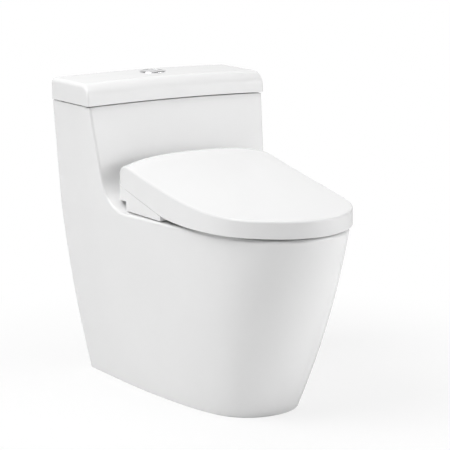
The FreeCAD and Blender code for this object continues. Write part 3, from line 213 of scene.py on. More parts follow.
@dataclass(frozen=True)
class Glaze(Finish):
    """Fired sanitary glaze: nearly even white, with the slow ripple that a dipped glaze keeps."""

    cloud_scale: float = 5.0
    cloud_dull: float = 0.035
    cloud_shade: float = 0.985
    pore_scale: float = 900.0
    pore_dull: float = 0.05
    ripple_scale: float = 42.0
    ripple: float = 0.05
    ripple_height: float = 0.0004
    refraction: float = 1.5

    def sockets(self, tree: Tree) -> dict[str, object]:
        """Clouded gloss, pin-fine pores and orange peel.

        Args:
            tree: The material's node tree.

        Returns:
            Values of the surface shader.
        """
        here = tree.here()
        cloud = tree.noise(here, self.cloud_scale, detail=3.0)
        pores = tree.noise(here, self.pore_scale)
        orange_peel = tree.noise(here, self.ripple_scale, detail=1.0)
        dull = cloud.between(0.35, 0.7) * self.cloud_dull + pores.between(0.72, 0.8) * self.pore_dull
        tint = (cloud.between(0.3, 0.7), self.shade(self.cloud_shade))
        relief = (orange_peel, self.ripple, self.ripple_height)
        return self.surface(tree, tint, dull, relief) | {"IOR": self.refraction}


@dataclass(frozen=True)
class GlossPlastic(Finish):
    """Polished moulded plastic, with faint flow marks and hair scratches."""

    flow_scale: float = 9.0
    flow_stretch: Triple = (1.0, 0.35, 1.0)
    flow_dull: float = 0.04
    flow_shade: float = 0.99
    flow_relief: Pair = (0.03, 0.0005)
    hair_scale: float = 6.0
    hair_stretch: Triple = (30.0, 400.0, 30.0)
    hair_dull: float = 0.03
    refraction: float = 1.46

    def sockets(self, tree: Tree) -> dict[str, object]:
        """Flow marks in tint, gloss and relief, and scratches in gloss.

        Args:
            tree: The material's node tree.

        Returns:
            Values of the surface shader.
        """
        here = tree.here()
        flow = tree.noise(tree.stretched(here, self.flow_stretch), self.flow_scale)
        hair = tree.noise(tree.stretched(here, self.hair_stretch), self.hair_scale, detail=1.0)
        dull = flow.between(0.3, 0.75) * self.flow_dull + hair.between(0.66, 0.8) * self.hair_dull
        tint = (flow.between(0.3, 0.7), self.shade(self.flow_shade))
        return self.surface(tree, tint, dull, (flow, *self.flow_relief)) | {"IOR": self.refraction}


@dataclass(frozen=True)
class MouldedPlastic(Finish):
    """Plain moulded plastic with a fine spark-eroded grain."""

    grain_scale: float = 2600.0
    grain_dull: float = 0.14
    grain_relief: Pair = (0.12, 0.0002)
    cloud_scale: float = 30.0
    cloud_shade: float = 0.9

    def sockets(self, tree: Tree) -> dict[str, object]:
        """Clouded tint, with the grain in gloss and relief.

        Args:
            tree: The material's node tree.

        Returns:
            Values of the surface shader.
        """
        here = tree.here()
        grain = tree.noise(here, self.grain_scale, rough=0.6)
        cloud = tree.noise(here, self.cloud_scale, detail=3.0)
        tint = (cloud.between(0.3, 0.7), self.shade(self.cloud_shade))
        return self.surface(tree, tint, grain * self.grain_dull, (grain, *self.grain_relief))


@dataclass(frozen=True)
class Metal(Finish):
    """Plated or drawn metal, with marks drawn out along one axis."""

    stretch: Triple = (1.0, 1.0, 1.0)
    scale: float = 60.0
    marks: float = 0.05
    marks_shade: float = 0.9
    marks_relief: Pair = (0.03, 0.0001)

    def sockets(self, tree: Tree) -> dict[str, object]:
        """Drawn marks in tint, gloss and relief.

        Args:
            tree: The material's node tree.

        Returns:
            Values of the surface shader.
        """
        drawn = tree.noise(tree.stretched(tree.here(), self.stretch), self.scale, detail=3.0, rough=0.6)
        tint = (drawn.between(0.3, 0.75), self.shade(self.marks_shade))
        dull = drawn.between(0.25, 0.8) * self.marks
        return self.surface(tree, tint, dull, (drawn, *self.marks_relief)) | {"Metallic": 1.0}


@dataclass(frozen=True)
class Rubber(Finish):
    """Dull moulded rubber with a dusting of bloom."""

    bloom_scale: float = 160.0
    bloom_dull: float = 0.2
    bloom_shade: float = 1.5
    bloom_relief: Pair = (0.2, 0.0003)

    def sockets(self, tree: Tree) -> dict[str, object]:
        """Bloom in tint, gloss and relief.

        Args:
            tree: The material's node tree.

        Returns:
            Values of the surface shader.
        """
        bloom = tree.noise(tree.here(), self.bloom_scale, detail=4.0, rough=0.65)
        tint = (bloom.between(0.45, 0.75), self.shade(self.bloom_shade))
        return self.surface(tree, tint, bloom * self.bloom_dull, (bloom, *self.bloom_relief))


@dataclass(frozen=True)
class CircuitBoard(Finish):
    """Green solder mask with copper tracks below it."""

    track_scale: float = 160.0
    track_colour: Triple = (0.16, 0.42, 0.2)
    track_dull: float = 0.15
    track_relief: Pair = (0.3, 0.00004)

    def sockets(self, tree: Tree) -> dict[str, object]:
        """Tracks in tint, gloss and relief.

        Args:
            tree: The material's node tree.

        Returns:
            Values of the surface shader.
        """
        values = {"Vector": tree.here(), "Scale": self.track_scale, "Distortion": 3.0, "Detail": 1.0}
        tracks = tree.add("ShaderNodeTexWave", {"wave_type": "BANDS", "bands_direction": "X"}, values)
        line = tracks.between(0.82, 0.9)
        tint, relief = (line, self.track_colour), (line, *self.track_relief)
        return self.surface(tree, tint, line * self.track_dull, relief)


class Palette:
    """Every material of the object, by the record's slot name."""

    FINISHES: tuple[Finish, ...] = (
        Glaze("china", (0.93, 0.93, 0.93), 0.07),
        GlossPlastic("seat_plastic", (0.93, 0.93, 0.93), 0.12),
        Metal("chromed_plastic", (0.82, 0.82, 0.83), 0.05, scale=40.0, marks=0.05),
        MouldedPlastic("grey_plastic", (0.55, 0.56, 0.57), 0.38),
        MouldedPlastic("valve_plastic", (0.86, 0.87, 0.88), 0.4),
        MouldedPlastic("tube_plastic", (0.8, 0.83, 0.85), 0.3),
        MouldedPlastic("pipe_plastic", (0.88, 0.88, 0.87), 0.42),
        MouldedPlastic("dark_plastic", (0.08, 0.08, 0.09), 0.4),
        Rubber("rubber", (0.05, 0.05, 0.05), 0.6),
        Rubber("rubber_light", (0.75, 0.75, 0.74), 0.55),
        Metal("steel", (0.62, 0.62, 0.63), 0.22, (1.0, 1.0, 14.0), 130.0, 0.14),
        Metal("nozzle_steel", (0.7, 0.7, 0.71), 0.12, (24.0, 1.0, 24.0), 90.0, 0.1),
        Metal("motor_steel", (0.45, 0.46, 0.48), 0.3, (1.0, 1.0, 1.0), 220.0, 0.18),
        Metal("brass_fitting", (0.72, 0.58, 0.3), 0.22, (1.0, 1.0, 1.0), 180.0, 0.16),
        CircuitBoard("circuit_board", (0.05, 0.25, 0.12), 0.3),
        Metal("foil", (0.78, 0.79, 0.8), 0.25, (1.0, 1.0, 1.0), 350.0, 0.2),
        MouldedPlastic("carbon", (0.04, 0.04, 0.04), 0.7, 900.0),
    )

    def __init__(self) -> None:
        """Builds the materials."""
        self.materials = {finish.name: finish.make() for finish in self.FINISHES}

    def dress(self, obj: bpy.types.Object, slot: str) -> None:
        """Gives an object one material.

        Args:
            obj: The object.
            slot: The record's material slot.
        """
        obj.data.materials.clear()
        obj.data.materials.append(self.materials[slot])


# ---- modelling steps ----------------------------------------------------------------------------
class SmoothLine:
    """A curve with even curvature through points."""

    STEP = 1e-4             # half the share over which a heading is taken

    def __init__(self, points: Sequence[Sequence[float]], start: Pair | None = None,
                 end: Pair | None = None) -> None:
        """Solves the slopes at the points.

        Args:
            points: What the curve passes through.
            start: Heading at the first point, or None for a free end.
            end: Heading at the last point, or None for a free end.
        """
        self.points = np.array(points, float)
        steps = np.linalg.norm(np.diff(self.points, axis=0), axis=1)
        self.places = np.concatenate([[0.0], np.cumsum(steps)]) / steps.sum()
        gaps = np.diff(self.places)
        count = len(self.points)
        matrix, right = np.zeros((count, count)), np.zeros_like(self.points)
        rises = np.diff(self.points, axis=0) / gaps[:, None]
        for k in range(1, count - 1):
            matrix[k, k - 1:k + 2] = 1 / gaps[k - 1], 2 / gaps[k - 1] + 2 / gaps[k], 1 / gaps[k]
            right[k] = 3 * (rises[k - 1] / gaps[k - 1] + rises[k] / gaps[k])
        for row, beside, heading, rise in ((0, 1, start, rises[0]), (count - 1, count - 2, end, rises[-1])):
            matrix[row, row] = 1.0 if heading else 2.0
            matrix[row, beside] = 0.0 if heading else 1.0
            right[row] = np.array(heading) * steps.sum() if heading else 3 * rise
        self.slopes = np.linalg.solve(matrix, right)

    def at(self, t: float) -> np.ndarray:
        """The point at a share of the way.

        Args:
            t: The share, from 0 to 1.

        Returns:
            The point.
        """
        k = int(np.clip(np.searchsorted(self.places, t) - 1, 0, len(self.places) - 2))
        gap = self.places[k + 1] - self.places[k]
        u = (t - self.places[k]) / gap
        return ((1 + 2 * u) * (1 - u) ** 2 * self.points[k] + u * (1 - u) ** 2 * gap * self.slopes[k]
                + u * u * (3 - 2 * u) * self.points[k + 1] + u * u * (u - 1) * gap * self.slopes[k + 1])

    def heading(self, t: float) -> np.ndarray:
        """The unit heading at a share t of the way."""
        way = self.at(min(t + self.STEP, 1.0)) - self.at(max(t - self.STEP, 0.0))
        return way / np.linalg.norm(way)

    def outward(self, t: float) -> np.ndarray:
        """The unit normal, to the right of the heading, of a curve in plan."""
        heading = self.heading(t)
        return np.array([heading[1], -heading[0]])

    def table(self, count: int) -> np.ndarray:
        """Points at even shares of the way."""
        return np.array([self.at(t) for t in np.linspace(0, 1, count)])


class Bench:
    """Modelling steps that the sub-assemblies share."""

    WELD_GAP = 0.02         # vertices of a new piece nearer than this are merged
    COPY_GAP = 0.005        # and those of a copied CAD node
    FLAT_ANGLE = 1.5        # degrees; flatter edges of a copied CAD node are dissolved
    ROUND_ANGLE = 28.0      # degrees; its sharper edges are rounded
    COPY_STEPS = 3          # steps across that rounding
    UPRIGHT_STEPS = 5       # steps across its upright corners
    NEAR = 0.05             # how near a vertex has to be to a place that is looked for

    @staticmethod
    def metres(points: np.ndarray) -> np.ndarray:
        """Turns (x, depth, z) in millimetres into the frame's metres."""
        points = np.asarray(points, float)
        return np.stack([points[..., 0], BACK - points[..., 1], points[..., 2]], -1) * MM

    @staticmethod
    def measured(vertex: bpy.types.MeshVertex) -> Triple:
        """A vertex's distance from the middle plane, depth and height in millimetres."""
        return abs(vertex.co.x) * 1000, BACK - vertex.co.y * 1000, vertex.co.z * 1000

    @staticmethod
    def only(*objects: bpy.types.Object) -> None:
        """Selects these objects alone.

        Args:
            objects: The objects; the first becomes the active one.
        """
        bpy.ops.object.select_all(action="DESELECT")
        for obj in objects:
            obj.select_set(True)
        bpy.context.view_layer.objects.active = objects[0]

    @classmethod
    def sheet(cls, rows: Sequence[Sequence[Sequence[float]]]) -> bpy.types.Object:
        """A grid primitive whose vertices are laid over rows of points.

        Args:
            rows: Rows of (x, depth, z) points, all rows the same length.

        Returns:
            The new object.
        """
        points = cls.metres(np.array(rows, float))
        count_v, count_u = points.shape[:2]
        bpy.ops.object.select_all(action="DESELECT")
        bpy.ops.mesh.primitive_grid_add(x_subdivisions=count_u - 1, y_subdivisions=count_v - 1, size=2.0)
        obj = bpy.context.active_object
        flat = np.empty(len(obj.data.vertices) * 3)
        obj.data.vertices.foreach_get("co", flat)
        flat = flat.reshape(-1, 3)
        u = np.rint((flat[:, 0] + 1) / 2 * (count_u - 1)).astype(int)
        v = np.rint((flat[:, 1] + 1) / 2 * (count_v - 1)).astype(int)
        obj.data.vertices.foreach_set("co", points[v, u].ravel())
        return obj

    @classmethod
    def weld(cls, name: str, parts: Sequence[bpy.types.Object], mirror: bool = False) -> bpy.types.Object:
        """Joins parts into one closed mesh with its faces outwards.

        Args:
            name: The joined object's name.
            parts: The objects that are joined.
            mirror: Whether the other half is mirrored across the middle plane.

        Returns:
            The joined object.
        """
        gap = cls.WELD_GAP * MM
        cls.only(*parts)
        if len(parts) > 1:
            bpy.ops.object.join()
        obj = bpy.context.active_object
        obj.name = obj.data.name = name
        if mirror:
            modifier = obj.modifiers.new("other_half", "MIRROR")
            modifier.merge_threshold = gap
            bpy.ops.object.modifier_apply(modifier=modifier.name)
        bpy.ops.object.mode_set(mode="EDIT")
        bpy.ops.mesh.select_all(action="SELECT")
        bpy.ops.mesh.remove_doubles(threshold=gap)
        bpy.ops.mesh.dissolve_degenerate(threshold=gap / 4)
        bpy.ops.mesh.normals_make_consistent(inside=False)
        bpy.ops.object.mode_set(mode="OBJECT")
        return obj

    @classmethod
    def apply(cls, obj: bpy.types.Object, kind: str, **settings: object) -> None:
        """Adds a modifier and applies it.

        Args:
            obj: The object.
            kind: The modifier's type name.
            settings: Properties of the modifier.
        """
        cls.only(obj)
        modifier = obj.modifiers.new(kind.lower(), kind)
        for key, value in settings.items():
            setattr(modifier, key, value)
        bpy.ops.object.modifier_apply(modifier=modifier.name)

    @classmethod
    def smooth(cls, obj: bpy.types.Object, degrees: float) -> None:
        """Smooth shading up to an angle, led by the large faces.

        Args:
            obj: The object.
            degrees: Edges sharper than this stay sharp.
        """
        cls.only(obj)
        bpy.ops.object.shade_smooth_by_angle(angle=math.radians(degrees))
        cls.apply(obj, "WEIGHTED_NORMAL", mode="FACE_AREA", keep_sharp=True, weight=50)

    @classmethod
    def softened(cls, node: str, name: str, width: float, corner: Triple | None = None) -> bpy.types.Object:
        """A copy of a CAD node with its flats joined and its edges rounded.

        Args:
            node: The CAD node.
            name: The copy's name.
            width: Width of the rounding.
            corner: Distance from the middle, depth and radius of upright edges that are rounded more.

        Returns:
            The rounded copy.
        """
        obj = bpy.data.objects.new(name, frame["nodes"][node].data.copy())
        bpy.context.scene.collection.objects.link(obj)
        obj.data.name = name
        cls.only(obj)
        bpy.ops.mesh.customdata_custom_splitnormals_clear()
        bpy.ops.object.mode_set(mode="EDIT")
        bpy.ops.mesh.select_all(action="SELECT")
        bpy.ops.mesh.remove_doubles(threshold=cls.COPY_GAP * MM)
        bpy.ops.mesh.dissolve_limited(angle_limit=math.radians(cls.FLAT_ANGLE))
        bpy.ops.object.mode_set(mode="OBJECT")
        if corner:
            places = [cls.measured(vertex) for vertex in obj.data.vertices]
            upright = [max(abs(x - corner[0]), abs(depth - corner[1])) < cls.NEAR for x, depth, _ in places]
            cls.round_edges(obj, upright, corner[2], cls.UPRIGHT_STEPS)
        cls.apply(obj, "BEVEL", width=width * MM, segments=cls.COPY_STEPS, limit_method="ANGLE",
                  angle_limit=math.radians(cls.ROUND_ANGLE), use_clamp_overlap=True, miter_outer="MITER_ARC")
        cls.smooth(obj, degrees=40.0)
        return obj

    @classmethod
    def round_edges(cls, obj: bpy.types.Object, ends: Sequence[bool], width: float, steps: int) -> None:
        """Bevels the edges that run between chosen vertices.

        Args:
            obj: The object.
            ends: For each vertex, whether it's a chosen one.
            width: Width of the bevel.
            steps: Steps across it.
        """
        cls.only(obj)
        bpy.ops.object.mode_set(mode="EDIT")
        bpy.ops.mesh.select_mode(type="EDGE")
        bpy.ops.mesh.select_all(action="DESELECT")
        bpy.ops.object.mode_set(mode="OBJECT")
        for line in obj.data.edges:
            line.select = ends[line.vertices[0]] and ends[line.vertices[1]]
        bpy.ops.object.mode_set(mode="EDIT")
        bpy.ops.mesh.bevel(offset=width * MM, segments=steps, affect="EDGES")
        bpy.ops.object.mode_set(mode="OBJECT")

    @staticmethod
    def hand_over(obj: bpy.types.Object, body: str, slot: str, palette: Palette, *nodes: str) -> None:
        """Lets a finished piece ride on its body in the place of CAD nodes.

        Args:
            obj: The piece.
            body: The CAD body that it moves with.
            slot: The record's material slot.
            palette: The materials.
            nodes: The CAD nodes that it stands for.
        """
        palette.dress(obj, slot)
        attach(obj, body)
        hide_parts(*nodes)
        LOG.info("%s: %d faces on %s", obj.name, len(obj.data.polygons), body)


def toward(first: Sequence[float], second: Sequence[float], share: float) -> tuple[float, ...]:
    """The point a share of the way from one point to another."""
    return tuple(p + (q - p) * share for p, q in zip(first, second))


def swung(first: np.ndarray, second: np.ndarray, count: int) -> list[np.ndarray]:
    """Unit vectors turned evenly from one into another.

    Args:
        first: The first unit vector.
        second: The last unit vector.
        count: How many there are, both ends counted.

    Returns:
        The unit vectors.
    """
    turn = math.acos(max(-1.0, min(1.0, float(first @ second))))
    return [(math.sin((1 - part) * turn) * first + math.sin(part * turn) * second) / math.sin(turn)
            for part in np.linspace(0, 1, count)]


@dataclass(frozen=True)
class Oval:
    """A level superellipse between two depths."""

    rear: float
    front: float
    half: float
    power: float

    def grown(self, amount: float) -> "Oval":
        """The same oval moved outwards all round."""
        return Oval(self.rear - amount, self.front + amount, self.half + amount, self.power)

    def at(self, angle: float) -> Pair:
        """The point at an angle.

        Args:
            angle: Angle from the side towards the front.

        Returns:
            Distance from the middle line, and depth.
        """
        cosine, sine = math.cos(angle), math.sin(angle)
        across = self.half * math.copysign(abs(cosine) ** (2 / self.power), cosine)
        reach = (self.front - self.rear) / 2 * math.copysign(abs(sine) ** (2 / self.power), sine)
        return across, (self.front + self.rear) / 2 + reach

    def angle(self, point: Sequence[float], centre: float) -> float:
        """The angle in whose direction a point lies.

        Args:
            point: The point, its first two parts across and depth.
            centre: Depth on the middle line from which it is seen.

        Returns:
            The angle.
        """
        along = (point[1] - centre) / ((self.front - self.rear) / 2)
        across = max(point[0], 0.0) / self.half
        return math.atan2(math.copysign(abs(along) ** (self.power / 2), along), across ** (self.power / 2))

    def angles(self, points: Sequence[Sequence[float]], centre: float) -> list[float]:
        """The angles of points that run from the middle line behind to the middle line in front."""
        return [-math.pi / 2, *(self.angle(point, centre) for point in points[1:-1]), math.pi / 2]

    def ring(self, angles: Sequence[float], z: float) -> list[Triple]:
        """The points at angles, at a height."""
        return [(*self.at(angle), z) for angle in angles]


# ---- china --------------------------------------------------------------------------------------
class Run(Enum):
    """Where a station lies on the outline of the china."""

    MIDDLE = "across the service opening"
    REAR = "from the opening to the corner"
    CORNER = "round the rear corner"
    SIDE = "along the side to the tip"


@dataclass(frozen=True)
class Station:
    """One upright line of the china's wall; its place is a distance, share or angle, as its run needs."""

    run: Run
    place: float


@dataclass(frozen=True)
class Outline:
    """A level outline with a straight back and an egg-shaped front."""

    half: float
    length: float
    shape: tuple[Pair, ...]
    rear: float = 0.0
    corner: float = 4.0

    def side(self) -> SmoothLine:
        """The curve from the right rear corner round the tip to the left one.

        Returns:
            The curve.
        """
        right = [(self.half, self.rear + self.corner)]
        right += [(self.half * across, self.rear + (self.length - self.rear) * along)
                  for along, across in self.shape]
        left = [(-x, depth) for x, depth in reversed(right)]
        return SmoothLine(right + [(0.0, self.length)] + left, (0.0, 1.0), (0.0, -1.0))


BASE_SHAPE = ((0.10, 1.0), (0.20, 1.0), (0.45, 0.977), (0.565, 0.943), (0.665, 0.898), (0.76, 0.838),
              (0.843, 0.757), (0.912, 0.643), (0.96, 0.478), (0.99, 0.255))
RIM_SHAPE = ((0.10, 1.0), (0.20, 1.0), (0.389, 0.944), (0.509, 0.896), (0.648, 0.834), (0.738, 0.785),
             (0.823, 0.716), (0.890, 0.624), (0.945, 0.486), (0.986, 0.262))

# heights of the wall's rows up to the crease, and how far the lowest two are drawn in for the foot's edge
HEIGHTS = (0.0, 0.7, 2.2, 12.0, *range(24, 361, 12), 370.0, 378.0, 382.2)
FOOT = {0.0: 2.0, 0.7: 0.7}
# the wall's rows from the crease to the top, as shares of the height between them
UPPER = (0.0, 0.02, 0.06, 0.14, 0.24, 0.34, 0.45, 0.56, 0.67, 0.78, 0.89, 0.96, 1.0)
# the deck's rows from the rim to the mouth, as shares
DECK = (0.0, 0.04, 0.2, 0.45, 0.7, 0.9, 1.0)
# drops below the deck at which the bowl has a row, inside and outside, and the last rows to its lowest point
BOWL_DROPS = (14, 22, 32, 44, 58, 74, 92, 112, 132, 152, 172, 192, 212, 232, 250, 264, 274, 282)
OUTSIDE_DROPS = (24, 60, 100, 140, 180, 220, 256, 282)
BOWL_END = ((0.25, 1.2), (0.6, 2.0), (1.0, 2.2))


@dataclass(frozen=True)
class SoftPlace:
    """A wall station on the soft edge, and the edge's arc there from the wall to the top surface."""

    station: Station
    arc: list[np.ndarray]


@dataclass
class ChinaCasting:
    """Skirt, rim, tank and bowl in one casting."""

    base: Outline = Outline(133.5, 543.0, BASE_SHAPE)
    waist: Outline = Outline(172.6, 634.0, tuple(((a[0] + b[0]) / 2, (a[1] + b[1]) / 2)
                                                 for a, b in zip(BASE_SHAPE, RIM_SHAPE)))
    rim: Outline = Outline(198.5, 699.0, RIM_SHAPE)
    waist_z: float = 192.0
    crease_z: float = 383.5
    deck_z: float = 390.0
    edge_r: float = 5.6
    edge_steps: int = 8
    hair: float = 0.001             # a height this near to the deck's is the deck's
    tank_z: float = 600.0
    tank_half: float = 212.0
    tank_depth: float = 166.0
    top_r: float = 1.8              # rounding of the tank's top outside
    top_band: Pair = (8.0, 3.0)     # its edge lies this near the sides, and this near rear and front
    top_near: float = 0.3
    arch: float = 3.8               # how far that top rises in the middle
    lean: float = 0.178             # how far its front leans forward per height
    sweep_r: float = 75.0           # round from its front into the deck
    wall: float = 11.0
    middle: tuple[float, ...] = (0.0, 31.0, 62.0, 92.0)     # stations over the service opening
    opening_z: float = 300.0
    front_rows: int = 13            # rows of the soft edge down the front, round the sweep, on the rim
    sweep_rows: int = 15
    rim_rows: int = 70
    face_columns: int = 14
    mouth: Oval = Oval(318.0, 650.0, 113.0, 2.3)
    mouth_r: float = 8.0
    bowl: tuple[tuple[float, float, float, float], ...] = (     # drop, rear, front, half width
        (0.0, 318.0, 650.0, 113.0), (52.0, 345.0, 641.0, 106.0), (120.0, 370.0, 592.0, 82.0),
        (190.0, 404.0, 530.0, 54.0), (240.0, 424.0, 496.0, 36.0), (282.0, 432.0, 488.0, 27.0))
    bowl_depth: float = 460.0       # depth of its lowest point
    under_deck: float = 366.0
    under_gap: float = 4.0          # least height between that ceiling and the row below it
    under_mouth: Oval = Oval(302.0, 650.0, 122.0, 2.3)
    tank_floor: float = 380.0
    tank_centre: float = 83.0
    tank_squareness: float = 9.0
    tank_middle_z: float = 480.0
    tank_taper: float = 7.5         # how much narrower the inside is there than at the top
    floor_front: Pair = (176.0, 165.0)      # its front above and below the rounding to the floor
    floor_r: float = 12.0

    def __post_init__(self) -> None:
        """Works out the side profile and the outline curves."""
        self.slant = math.hypot(1.0, self.lean)
        self.sweep_z = self.deck_z + self.sweep_r
        self.sweep_depth = self.front(self.sweep_z) + self.sweep_r * self.slant
        self.sides = {outline: outline.side() for outline in (self.base, self.waist, self.rim)}
        self.shares = np.linspace(0, 1, 1201)
        self.depths = np.maximum.accumulate([self.sides[self.rim].at(t / 2)[1] for t in self.shares])
        self.bowl_line = SmoothLine(self.bowl)
        self.bowl_table = self.bowl_line.table(401)[:, 0]

    def front(self, z: float) -> float:
        """Depth of the tank's leaning front at a height."""
        return self.tank_depth + self.lean * (self.tank_z - z)

    def at_depth(self, depth: float) -> float:
        """Place along the side of the rim outline at a depth."""
        return float(np.interp(depth, self.depths, self.shares))

    def plan(self, outline: Outline, station: Station) -> np.ndarray:
        """Where a station stands on an outline.

        Args:
            outline: The outline.
            station: The station.

        Returns:
            The plan point.
        """
        if station.run is Run.MIDDLE:
            return np.array([station.place, outline.rear])
        if station.run is Run.REAR:
            jamb, outer = self.middle[-1], outline.half - outline.corner
            return np.array([jamb + (outer - jamb) * station.place, outline.rear])
        if station.run is Run.CORNER:
            turn = math.radians(station.place)
            return np.array([outline.half - outline.corner * (1 - math.sin(turn)),
                             outline.rear + outline.corner * (1 - math.cos(turn))])
        return self.sides[outline].at(station.place / 2)

    def wall_at(self, station: Station, z: float) -> np.ndarray:
        """Where a station's wall is at a height.

        Args:
            station: The station.
            z: The height.

        Returns:
            The plan point.
        """
        if z >= self.crease_z:
            point = self.plan(self.rim, station)
            grow = (self.tank_half - self.rim.half) / (self.tank_z - self.crease_z)
            scale = 1.0 if station.run is Run.MIDDLE else 1 + grow * (z - self.crease_z) / self.rim.half
            return np.array([point[0] * scale, point[1]])
        a, b, c = 0.0, self.waist_z, self.crease_z
        shares = ((z - b) * (z - c) / ((a - b) * (a - c)), (z - a) * (z - c) / ((b - a) * (b - c)),
                  (z - a) * (z - b) / ((c - a) * (c - b)))
        levels = (self.base, self.waist, self.rim)
        return sum(share * self.plan(level, station) for share, level in zip(shares, levels))

    def top_at(self, x: float) -> float:
        """Height of the arched tank top."""
        return self.tank_z + self.arch * (1 - (x / self.tank_half) ** 2)

    def soft_edge(self) -> list[SoftPlace]:
        """The soft edge down the tank front, round the sweep and along the rim.

        Returns:
            Its places, in that order.
        """
        marks: list[tuple[float, float, Pair]] = []
        sweep_top_z = self.sweep_z - self.sweep_r * self.lean / self.slant
        for z in np.linspace(self.tank_z, sweep_top_z, self.front_rows + 1)[:-1]:
            marks.append((self.front(z), z, (1 / self.slant, self.lean / self.slant)))
        first = math.pi + math.atan(self.lean)
        for turn in np.linspace(first, 1.5 * math.pi, self.sweep_rows):
            cosine, sine = math.cos(turn), math.sin(turn)
            marks.append((self.sweep_depth + self.sweep_r * cosine, self.sweep_z + self.sweep_r * sine,
                          (-cosine, -sine)))
        edge = [self._soft_place(self.at_depth(depth), depth, z, top) for depth, z, top in marks]
        deck_from = self.at_depth(self.sweep_depth)
        for share in np.linspace(0, 1, self.rim_rows + 1)[1:]:
            t = deck_from + (1 - deck_from) * share
            depth = float(self.plan(self.rim, Station(Run.SIDE, t))[1])
            edge.append(self._soft_place(t, depth, self.deck_z, (0.0, 1.0)))
        return edge

    def _soft_place(self, t: float, depth: float, z: float, top: Pair) -> SoftPlace:
        """The soft edge where the wall meets the top surface.

        Args:
            t: Place along the side of the rim outline.
            depth: Depth of the sharp corner.
            z: Height of the sharp corner.
            top: Normal of the top surface, as depth and height.

        Returns:
            The wall station and the arc.
        """
        wall_normal = np.array([*self.sides[self.rim].outward(t / 2), 0.0])
        top_normal = np.array([0.0, *top])
        corner = np.array([self.wall_at(Station(Run.SIDE, t), z)[0], depth, z])
        share = float(wall_normal @ top_normal)
        centre = corner - self.edge_r * (wall_normal + top_normal) / (1 + share)
        arc = [centre + self.edge_r * way for way in swung(wall_normal, top_normal, self.edge_steps)]
        low, high = arc[0], arc[-1]
        above_deck = z > self.deck_z + self.hair
        on_front = z > self.sweep_z - 0.2 * self.sweep_r and depth < self.front(z) + 0.5
        if above_deck:      # the arc's ends are laid on the wall and on the surface that they meet
            t = self.at_depth(low[1])
            low[0] = self.wall_at(Station(Run.SIDE, t), low[2])[0]
        if on_front:
            high[1] = self.front(high[2])
        elif above_deck:
            out = np.array([high[1] - self.sweep_depth, high[2] - self.sweep_z])
            high[1:] = np.array([self.sweep_depth, self.sweep_z]) + out * self.sweep_r / np.linalg.norm(out)
        else:
            high[2] = self.deck_z
        return SoftPlace(Station(Run.SIDE, t), arc)

    def drawn_in(self, stations: Sequence[Station], z: float, amount: float) -> list[Triple]:
        """The wall's row at a height, moved inwards.

        Args:
            stations: The stations from the middle of the back to the tip.
            z: The height.
            amount: How far it is moved; the opening's stations only move forward.

        Returns:
            The row.
        """
        row = np.array([self.wall_at(station, z) for station in stations])
        if amount:
            way = np.gradient(row, axis=0)
            way /= np.linalg.norm(way, axis=1)[:, None]
            moved = row - np.stack([way[:, 1], -way[:, 0]], 1) * amount
            moved[-1] = 0.0, row[-1, 1] - amount
            moved[0, 1] = row[0, 1] + amount
            moved[:len(self.middle), 0] = self.middle
            row = moved
        return [(x, depth, z) for x, depth in row]

    def build(self, palette: Palette) -> None:
        """Models the casting and puts it in the place of the china nodes.

        Args:
            palette: The materials.
        """
        edge = self.soft_edge()
        stations = self._stations(edge)
        levels = self._levels(stations, edge)
        face = self._face(edge)
        rim = face[-1][::-1] + [tuple(place.arc[-1]) for place in edge[len(face):]]
        jamb, opening = len(self.middle) - 1, HEIGHTS.index(self.opening_z)
        parts = [Bench.sheet([row[jamb:] for row in levels]),
                 Bench.sheet([row[:jamb + 1] for row in levels[opening:]]),
                 Bench.sheet(list(zip(*(place.arc for place in edge)))),
                 Bench.sheet(face)]
        parts += self._bowl(rim)
        parts.append(self._tank_inside(levels[-1][:len(stations) - len(edge) + 1], edge[0].arc, face[0]))
        parts += self._underside(stations, levels)
        obj = Bench.weld("china_casting", parts, mirror=True)
        self.ease_tank_top(obj)
        Bench.smooth(obj, degrees=38.0)
        Bench.hand_over(obj, "china", "china", palette, "china_skirt", "china_deck", "china_tank",
                        "china_bowl")

    def _stations(self, edge: Sequence[SoftPlace]) -> list[Station]:
        """The wall's stations from the middle of the back to the tip.

        Args:
            edge: The soft edge, whose stations come last.

        Returns:
            The stations.
        """
        first = edge[0].station.place
        return [*(Station(Run.MIDDLE, x) for x in self.middle),
                *(Station(Run.REAR, share) for share in (0.3, 0.6, 0.85, 1.0)),
                *(Station(Run.CORNER, angle) for angle in (30.0, 60.0, 90.0)),
                *(Station(Run.SIDE, first * k / 10) for k in range(1, 10)),
                *(place.station for place in edge)]

    def _levels(self, stations: Sequence[Station], edge: Sequence[SoftPlace]) -> list[list[Triple]]:
        """The wall's rows from the floor to the tank's top and the soft edge.

        Args:
            stations: The wall's stations.
            edge: The soft edge, where the last of them end.

        Returns:
            The rows.
        """
        levels = [self.drawn_in(stations, z, FOOT.get(z, 0.0)) for z in HEIGHTS]
        plain = len(stations) - len(edge)
        tops = [self.top_at(self.wall_at(station, self.tank_z)[0]) for station in stations[:plain]]
        tops += [place.arc[0][2] for place in edge]
        for share in UPPER:
            heights = [self.crease_z + (top - self.crease_z) * share for top in tops]
            levels.append([(*self.wall_at(station, z), z) for station, z in zip(stations, heights)])
        return levels

